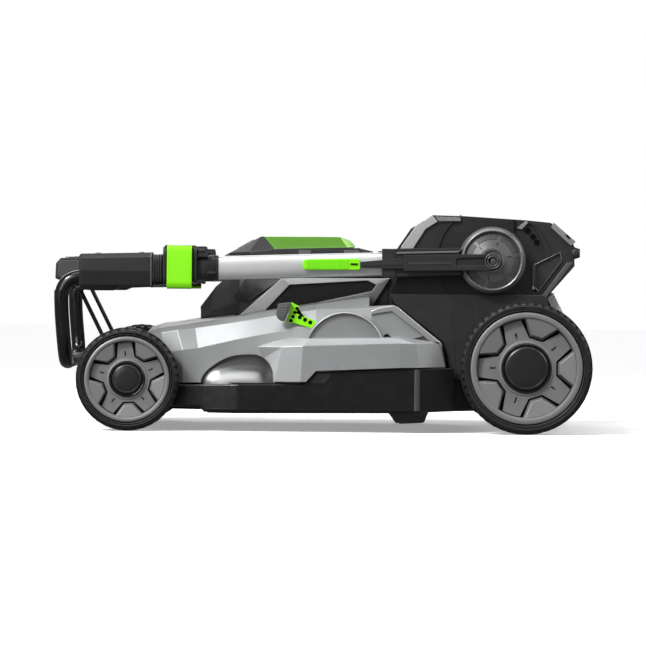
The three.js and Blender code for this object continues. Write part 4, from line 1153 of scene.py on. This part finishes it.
bodies = ("lower_handle", "lower_handle")
pair("pivot_disc", pivot_disc(), bodies, ["pivot_disc"])
pair("lower_arm", arm_parts(), bodies, ["lower_arm"])
pair("outer_tube", outer_tube(), bodies, ["outer_tube"])
pair("clamp_collar", [(clamp_parts(), "grey")], bodies, ["clamp_collar"])
pair("cam_lever", cam_parts(), ("cam_left", "cam_right"), ["cam_lever"])
pair("release_lever", release_parts(), ("release_left", "release_right"), ["release_lever"])
pair("inner_tube", inner_tube(), ("upper_handle", "upper_handle"), ["inner_tube"])


# ---- handle: joints, console, grip, bail ----------------------------------------------------
def joint_section(x, low, inset=0.0):
    """Nine-sided section of the joint housing, drawn in by the inset."""
    top = 303.8 + (x + 414.5) * 0.0273 - inset
    return [(x, -174 - inset, top - 8), (x, -181, top), (x, -241.5, top),
            (x, -249.6 + inset, top - 7.8), (x, -250 + inset, 274.6), (x, -245.4 + inset, 250.4),
            (x, -238, low + inset), (x, -184, low + inset), (x, -174.4 - inset, 252)]


def joint_parts():
    """Joint housing between the tube clamp and the console, with its neck, screws and bail eye."""
    shell_body = loft([joint_section(-417.4, 244.6, 2.4), joint_section(-414.6, 241.7),
                       joint_section(-389.7, 240.3), joint_section(-360.4, 240.6),
                       joint_section(-350.1, 245), joint_section(-293.4, 247.6),
                       joint_section(-291.6, 249, 1.6)], 1.0, 2, 10)
    edge_plate = loft([joint_section(-294.4, 246.9, -0.5), joint_section(-292.4, 246.9, -0.5)])
    lip = prism([(-293, 246.6), (-293, 251), (-271, 252.4), (-272, 248.6), (-279, 246.8)],
                -243, -186, 1.0)
    ribs = fluted(-290.4, 4.1, 4, (24.6, 19.4), (26.6, 21), (0, 0.6, 2.6, 3.2))
    neck = sleeve([(-293, 24, 19, 0), *ribs, (-273.4, 23.6, 18.6, 0)], 4)
    heads = [screw(x, -225, z, 5, "z") for x, z in ((-386, 305), (-311, 307))]
    pivot = prism(fillet([(-433, 243), (-433, 255), (-414, 258), (-414, 241)], 4), -187, -172.4, 1.2)
    pin = screw(*BAIL_HINGE, -186.6, 4.4)
    return [(merged(shell_body, lip, neck, pivot), "grey"), (edge_plate, "disc"),
            (merged(*heads, pin), "steel")]


def grip_parts():
    """Grip loop: one bent bar with a collar near each end of its straight part."""
    y, radius, bar_end = 190.0, 12.4, (-443, 116)
    side = [(-330, -y, 262), (-451.4, -y, 264.5), (-451.6, -y, 210), (bar_end[0], -y, bar_end[1])]
    far = [(x, -w, z) for x, w, z in reversed(side)]
    bar = swept(rounded_path([*side, *far], [40, 30, 42, 42, 30, 40], 12), radius, 28)
    caps = both(lathe([(radius, -132), (13.1, -131), (13.1, -125), (radius, -124)], bar_end, 32))
    return [(merged(bar, caps), "rubber")]


CONSOLE = [(-468, 260.5), (-467, 287.9), (-458.4, 297), (-360, 297.6), (-352.4, 290), (-352.4, 262),
           (-360, 256), (-450, 254.4)]


def console_parts():
    """Switch console with side covers, top panel, key domes, screws and vent slats."""
    body = prism(CONSOLE, -112, 112, 0)
    well = block(-480, -452, -16, 16, 266, 284, 0)
    vent = block(-430, -380, -50, 50, 250, 259, 0)
    shell_body = tidy(carve(body, well, vent), 2.2, 3, 12)
    sides = both(prism([(-464, 264), (-463, 286.4), (-456.4, 293), (-364, 293.4), (-357, 288),
                        (-357, 264), (-362, 260), (-449, 258.4)], -114.2, -110, 1.6, 3))
    bridge = both(loft([[(x, y, z) for x, z in fillet([(-396, 264), (-396, 290), (-366, 290),
                                                       (-366, 264)], 8)]
                        for y in (-171.4, -110)], 0))
    panel = prism(fillet([(-452, -92), (-452, 92), (-372, 92), (-372, -92)], 14), 297, 299.4, 1.0, 3,
                  "z")
    plate = prism(fillet([(-440, -26), (-440, 26), (-384, 26), (-384, -26)], 8), 299, 300.8, 0.8, 3,
                  "z")
    slats = [block(-428 + 7 * k, -425 + 7 * k, -49, 49, 254.6, 258, 0.5) for k in range(7)]
    domes = [lathe([(0, 301.6), (5, 301.4), (6.6, 300.2), (7, 298), (7.6, 298)], (-412, y), 32, "z")
             for y in (-12, 12)]
    bolts = [screw(x, y, 297.3, 3.8, "z") for x in (-448, -368) for y in (-101, 101)]
    return [(merged(shell_body, bridge, *slats), "grey"), (sides, "mid"), (panel, "grey"),
            (merged(plate, *domes), "gloss"), (merged(*bolts), "steel")]


def button_parts():
    """Start button with a raised bar."""
    cap = prism(fillet([(-14.4, 267), (-14.4, 283), (14.4, 283), (14.4, 267)], 4), -467.6, -453.4,
                1.4, 3, "x")
    bar = prism(fillet([(-9, 273.6), (-9, 276.4), (9, 276.4), (9, 273.6)], 1.2), -468, -466, 0.4, 2,
                "x")
    return [(cap, "lime"), (bar, "grey")]


def bail_parts():
    """Safety bail: a bent rod that hangs from an eye on each side."""
    lean, long, end = math.radians(26.6), 128, 176
    hinge_x, hinge_z = BAIL_HINGE
    low_x = hinge_x + math.sin(lean) * long
    low_z = hinge_z - math.cos(lean) * long
    leg = end - 9
    path = [(hinge_x, -end, hinge_z), (hinge_x, -leg, hinge_z), (low_x, -leg, low_z),
            (low_x, leg, low_z), (hinge_x, leg, hinge_z), (hinge_x, end, hinge_z)]
    rod = swept(rounded_path(path, [6, 26, 26, 6]), 3.6, 16)
    eyes = both(lathe([(3.6, -176), (6.2, -176), (6.6, -175.4), (6.6, -171.6), (3.6, -171)],
                      BAIL_HINGE, 24))
    return [(merged(rod, eyes), "rubber")]


bodies = ("upper_handle", "upper_handle")
pair("joint_housing", joint_parts(), bodies, ["joint_housing"])
piece("switch_console_look", console_parts(), "upper_handle", ["switch_console"])
piece("grip_loop_look", grip_parts(), "upper_handle", ["grip_loop"])
piece("start_button_look", button_parts(), "button", ["start_button"])
piece("bail_look", bail_parts(), "safety_bail", ["bail"])


# ---- cutting height lever -------------------------------------------------------------------
def knob_parts():
    """Finger grip at the end of the height lever."""
    outline = [(-77, 205), (-73.4, 221), (-53, 223.6), (-51.6, 221), (-54.6, 207), (-62, 190.6),
               (-68, 191), (-75, 196)]
    base = prism(fillet(outline, 3), -262, -250.4, 1.2, 3)
    face = prism(fillet([(-73.6, 205), (-71, 217.6), (-56.6, 219.4), (-58.4, 207), (-63.6, 195),
                         (-67.4, 195.4), (-72, 198.6)], 2.4), -263.4, -258, 0.8, 2)
    ribs = [block(-71, -57, -264, -261, z, z + 1.6, 0.5) for z in (201, 205.4, 209.8, 214.2)]
    return [(merged(base, face, *ribs), "disc")]


def lever_parts():
    """CAD lever strap with a near-black plug in each of its holes, painting the shade inside them."""
    holes = [(-41 - 3.4 * k, 213 - 7 * k, 1.9) for k in range(4)]
    holes += [(-36 + 9 * k, 198 - 4.4 * k, 2.4) for k in range(3)]
    face = -250.3
    shade_plugs = [lathe([(r + 1.1, -247.2), (r + 1.1, face), (0, face)], (x, z), 20)
             for x, z, r in holes]
    return [(of_node("height_lever", 0.35, 40), "lime"), (merged(*shade_plugs), "dark")]


piece("height_lever_look", lever_parts(), "lever", ["height_lever"])
piece("height_knob_look", knob_parts(), "lever", ["height_knob"])

for node, material in (("terminal_block", "copper"), ("motor_controller", "board"),
                       ("motor_stator", "copper"), ("motor_rotor", "steel"),
                       ("lower_bearing", "steel"), ("blade_adapter", "steel"),
                       ("blade", "blade"), ("blade_bolt", "steel"), ("front_axle", "steel"),
                       ("rear_axle", "steel"), ("height_link", "steel"), ("notch_plate", "steel"),
                       ("door_rod", "steel")):
    keep(node, material)


# ---- floor, sky and lights ----------------------------------------------------------------
def plain(name, colour, roughness, specular, glow):
    """Even material, from black at 0 to white at 1, that glows white."""
    mat = bpy.data.materials.new(name)
    mat.use_nodes = True
    shader = mat.node_tree.nodes["Principled BSDF"]
    shader.inputs["Base Color"].default_value = (colour, colour, colour, 1)
    shader.inputs["Roughness"].default_value = roughness
    shader.inputs["Specular IOR Level"].default_value = specular
    shader.inputs["Emission Color"].default_value = (1, 1, 1, 1)
    shader.inputs["Emission Strength"].default_value = glow
    return mat


def floor():
    """White floor under the wheels; it follows them down when the height lever moves."""
    mesh = bpy.data.meshes.new("floor")
    mesh.from_pydata([(-40, -30, 0), (40, -30, 0), (40, 40, 0), (-40, 40, 0)], [], [(0, 1, 2, 3)])
    mesh.materials.append(plain("pale_floor", 0.95, 0.9, 0.1, 0.3))
    ground = linked("floor", mesh)
    ground.visible_diffuse = False
    ground.visible_glossy = False
    hub = linked("floor_height", None)
    hub.location = (REAR["x"] * MM, -HUB_REACH * MM, REAR["z"] * MM)
    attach(hub, "wheel_rear_left")
    ground.location.z = -REAR["z"] * MM
    rest_on = ground.constraints.new("COPY_LOCATION")
    rest_on.target = hub
    rest_on.use_x = rest_on.use_y = False
    rest_on.use_offset = True


def backdrop(radius):
    """Plain white sky all round, seen by the camera only, so it lights nothing."""
    bm = bmesh.new()
    bmesh.ops.create_uvsphere(bm, u_segments=48, v_segments=24, radius=radius)
    mesh = as_mesh(bm, "backdrop")
    mesh.materials.append(plain("white_sky", 0, 0.5, 0, 1))
    sky = linked("backdrop", mesh)
    sky.visible_diffuse = False
    sky.visible_glossy = False
    sky.visible_transmission = False
    sky.visible_shadow = False


def daylight(strength):
    """Even white light from all sides."""
    world = bpy.data.worlds.new("studio")
    world.use_nodes = True
    back = world.node_tree.nodes["Background"]
    back.inputs["Color"].default_value = (1, 1, 1, 1)
    back.inputs["Strength"].default_value = strength
    bpy.context.scene.world = world


def sun(power, angle, place):
    """Light that shines from the place towards the origin."""
    light = bpy.data.lights.new("sun", "SUN")
    light.energy = power
    light.angle = math.radians(angle)
    linked("sun", light).rotation_euler = (-Vector(place)).to_track_quat("-Z", "Y").to_euler()


def lamp(name, place, target, size, power):
    """Rectangular lamp at a place, aimed at the target."""
    light = bpy.data.lights.new(name, "AREA")
    light.shape = "RECTANGLE"
    light.size, light.size_y = size
    light.energy = power
    obj = linked(name, light)
    obj.location = place
    aim = Vector(target) - Vector(place)
    obj.rotation_euler = aim.to_track_quat("-Z", "Y").to_euler()


def camera():
    """Long lens on the left-hand side, a little below the handle and tipped slightly down."""
    data = bpy.data.cameras.new("camera")
    data.sensor_width = 36
    data.lens = 210.6
    data.clip_end = 100
    place, pitch, roll = (0.004, -6.761, 0.2539), 0.010056, 0.0105
    turn = Matrix.Rotation(math.pi / 2 - pitch, 4, "X") @ Matrix.Rotation(roll, 4, "Z")
    obj = linked("camera", data)
    obj.matrix_world = Matrix.Translation(place) @ turn
    bpy.context.scene.camera = obj


bpy.context.scene.view_settings.view_transform = "Standard"
floor()
daylight(0.17)
backdrop(16)
sun(2.6, 14, (-0.9, -0.95, 1.15))
lamp("top", (0.0, -0.7, 2.0), (0, -0.1, 0.1), (2.4, 0.8), 20)
lamp("front", (-1.8, -2.6, 1.2), (0, -0.2, 0.15), (1.8, 1.6), 32)
lamp("back", (-0.8, 3.0, 1.5), (0, 0.2, 0.15), (1.8, 1.6), 34)
lamp("right", (2.4, -1.1, 1.5), (0.2, 0, 0.15), (1.2, 1.2), 24)
camera()
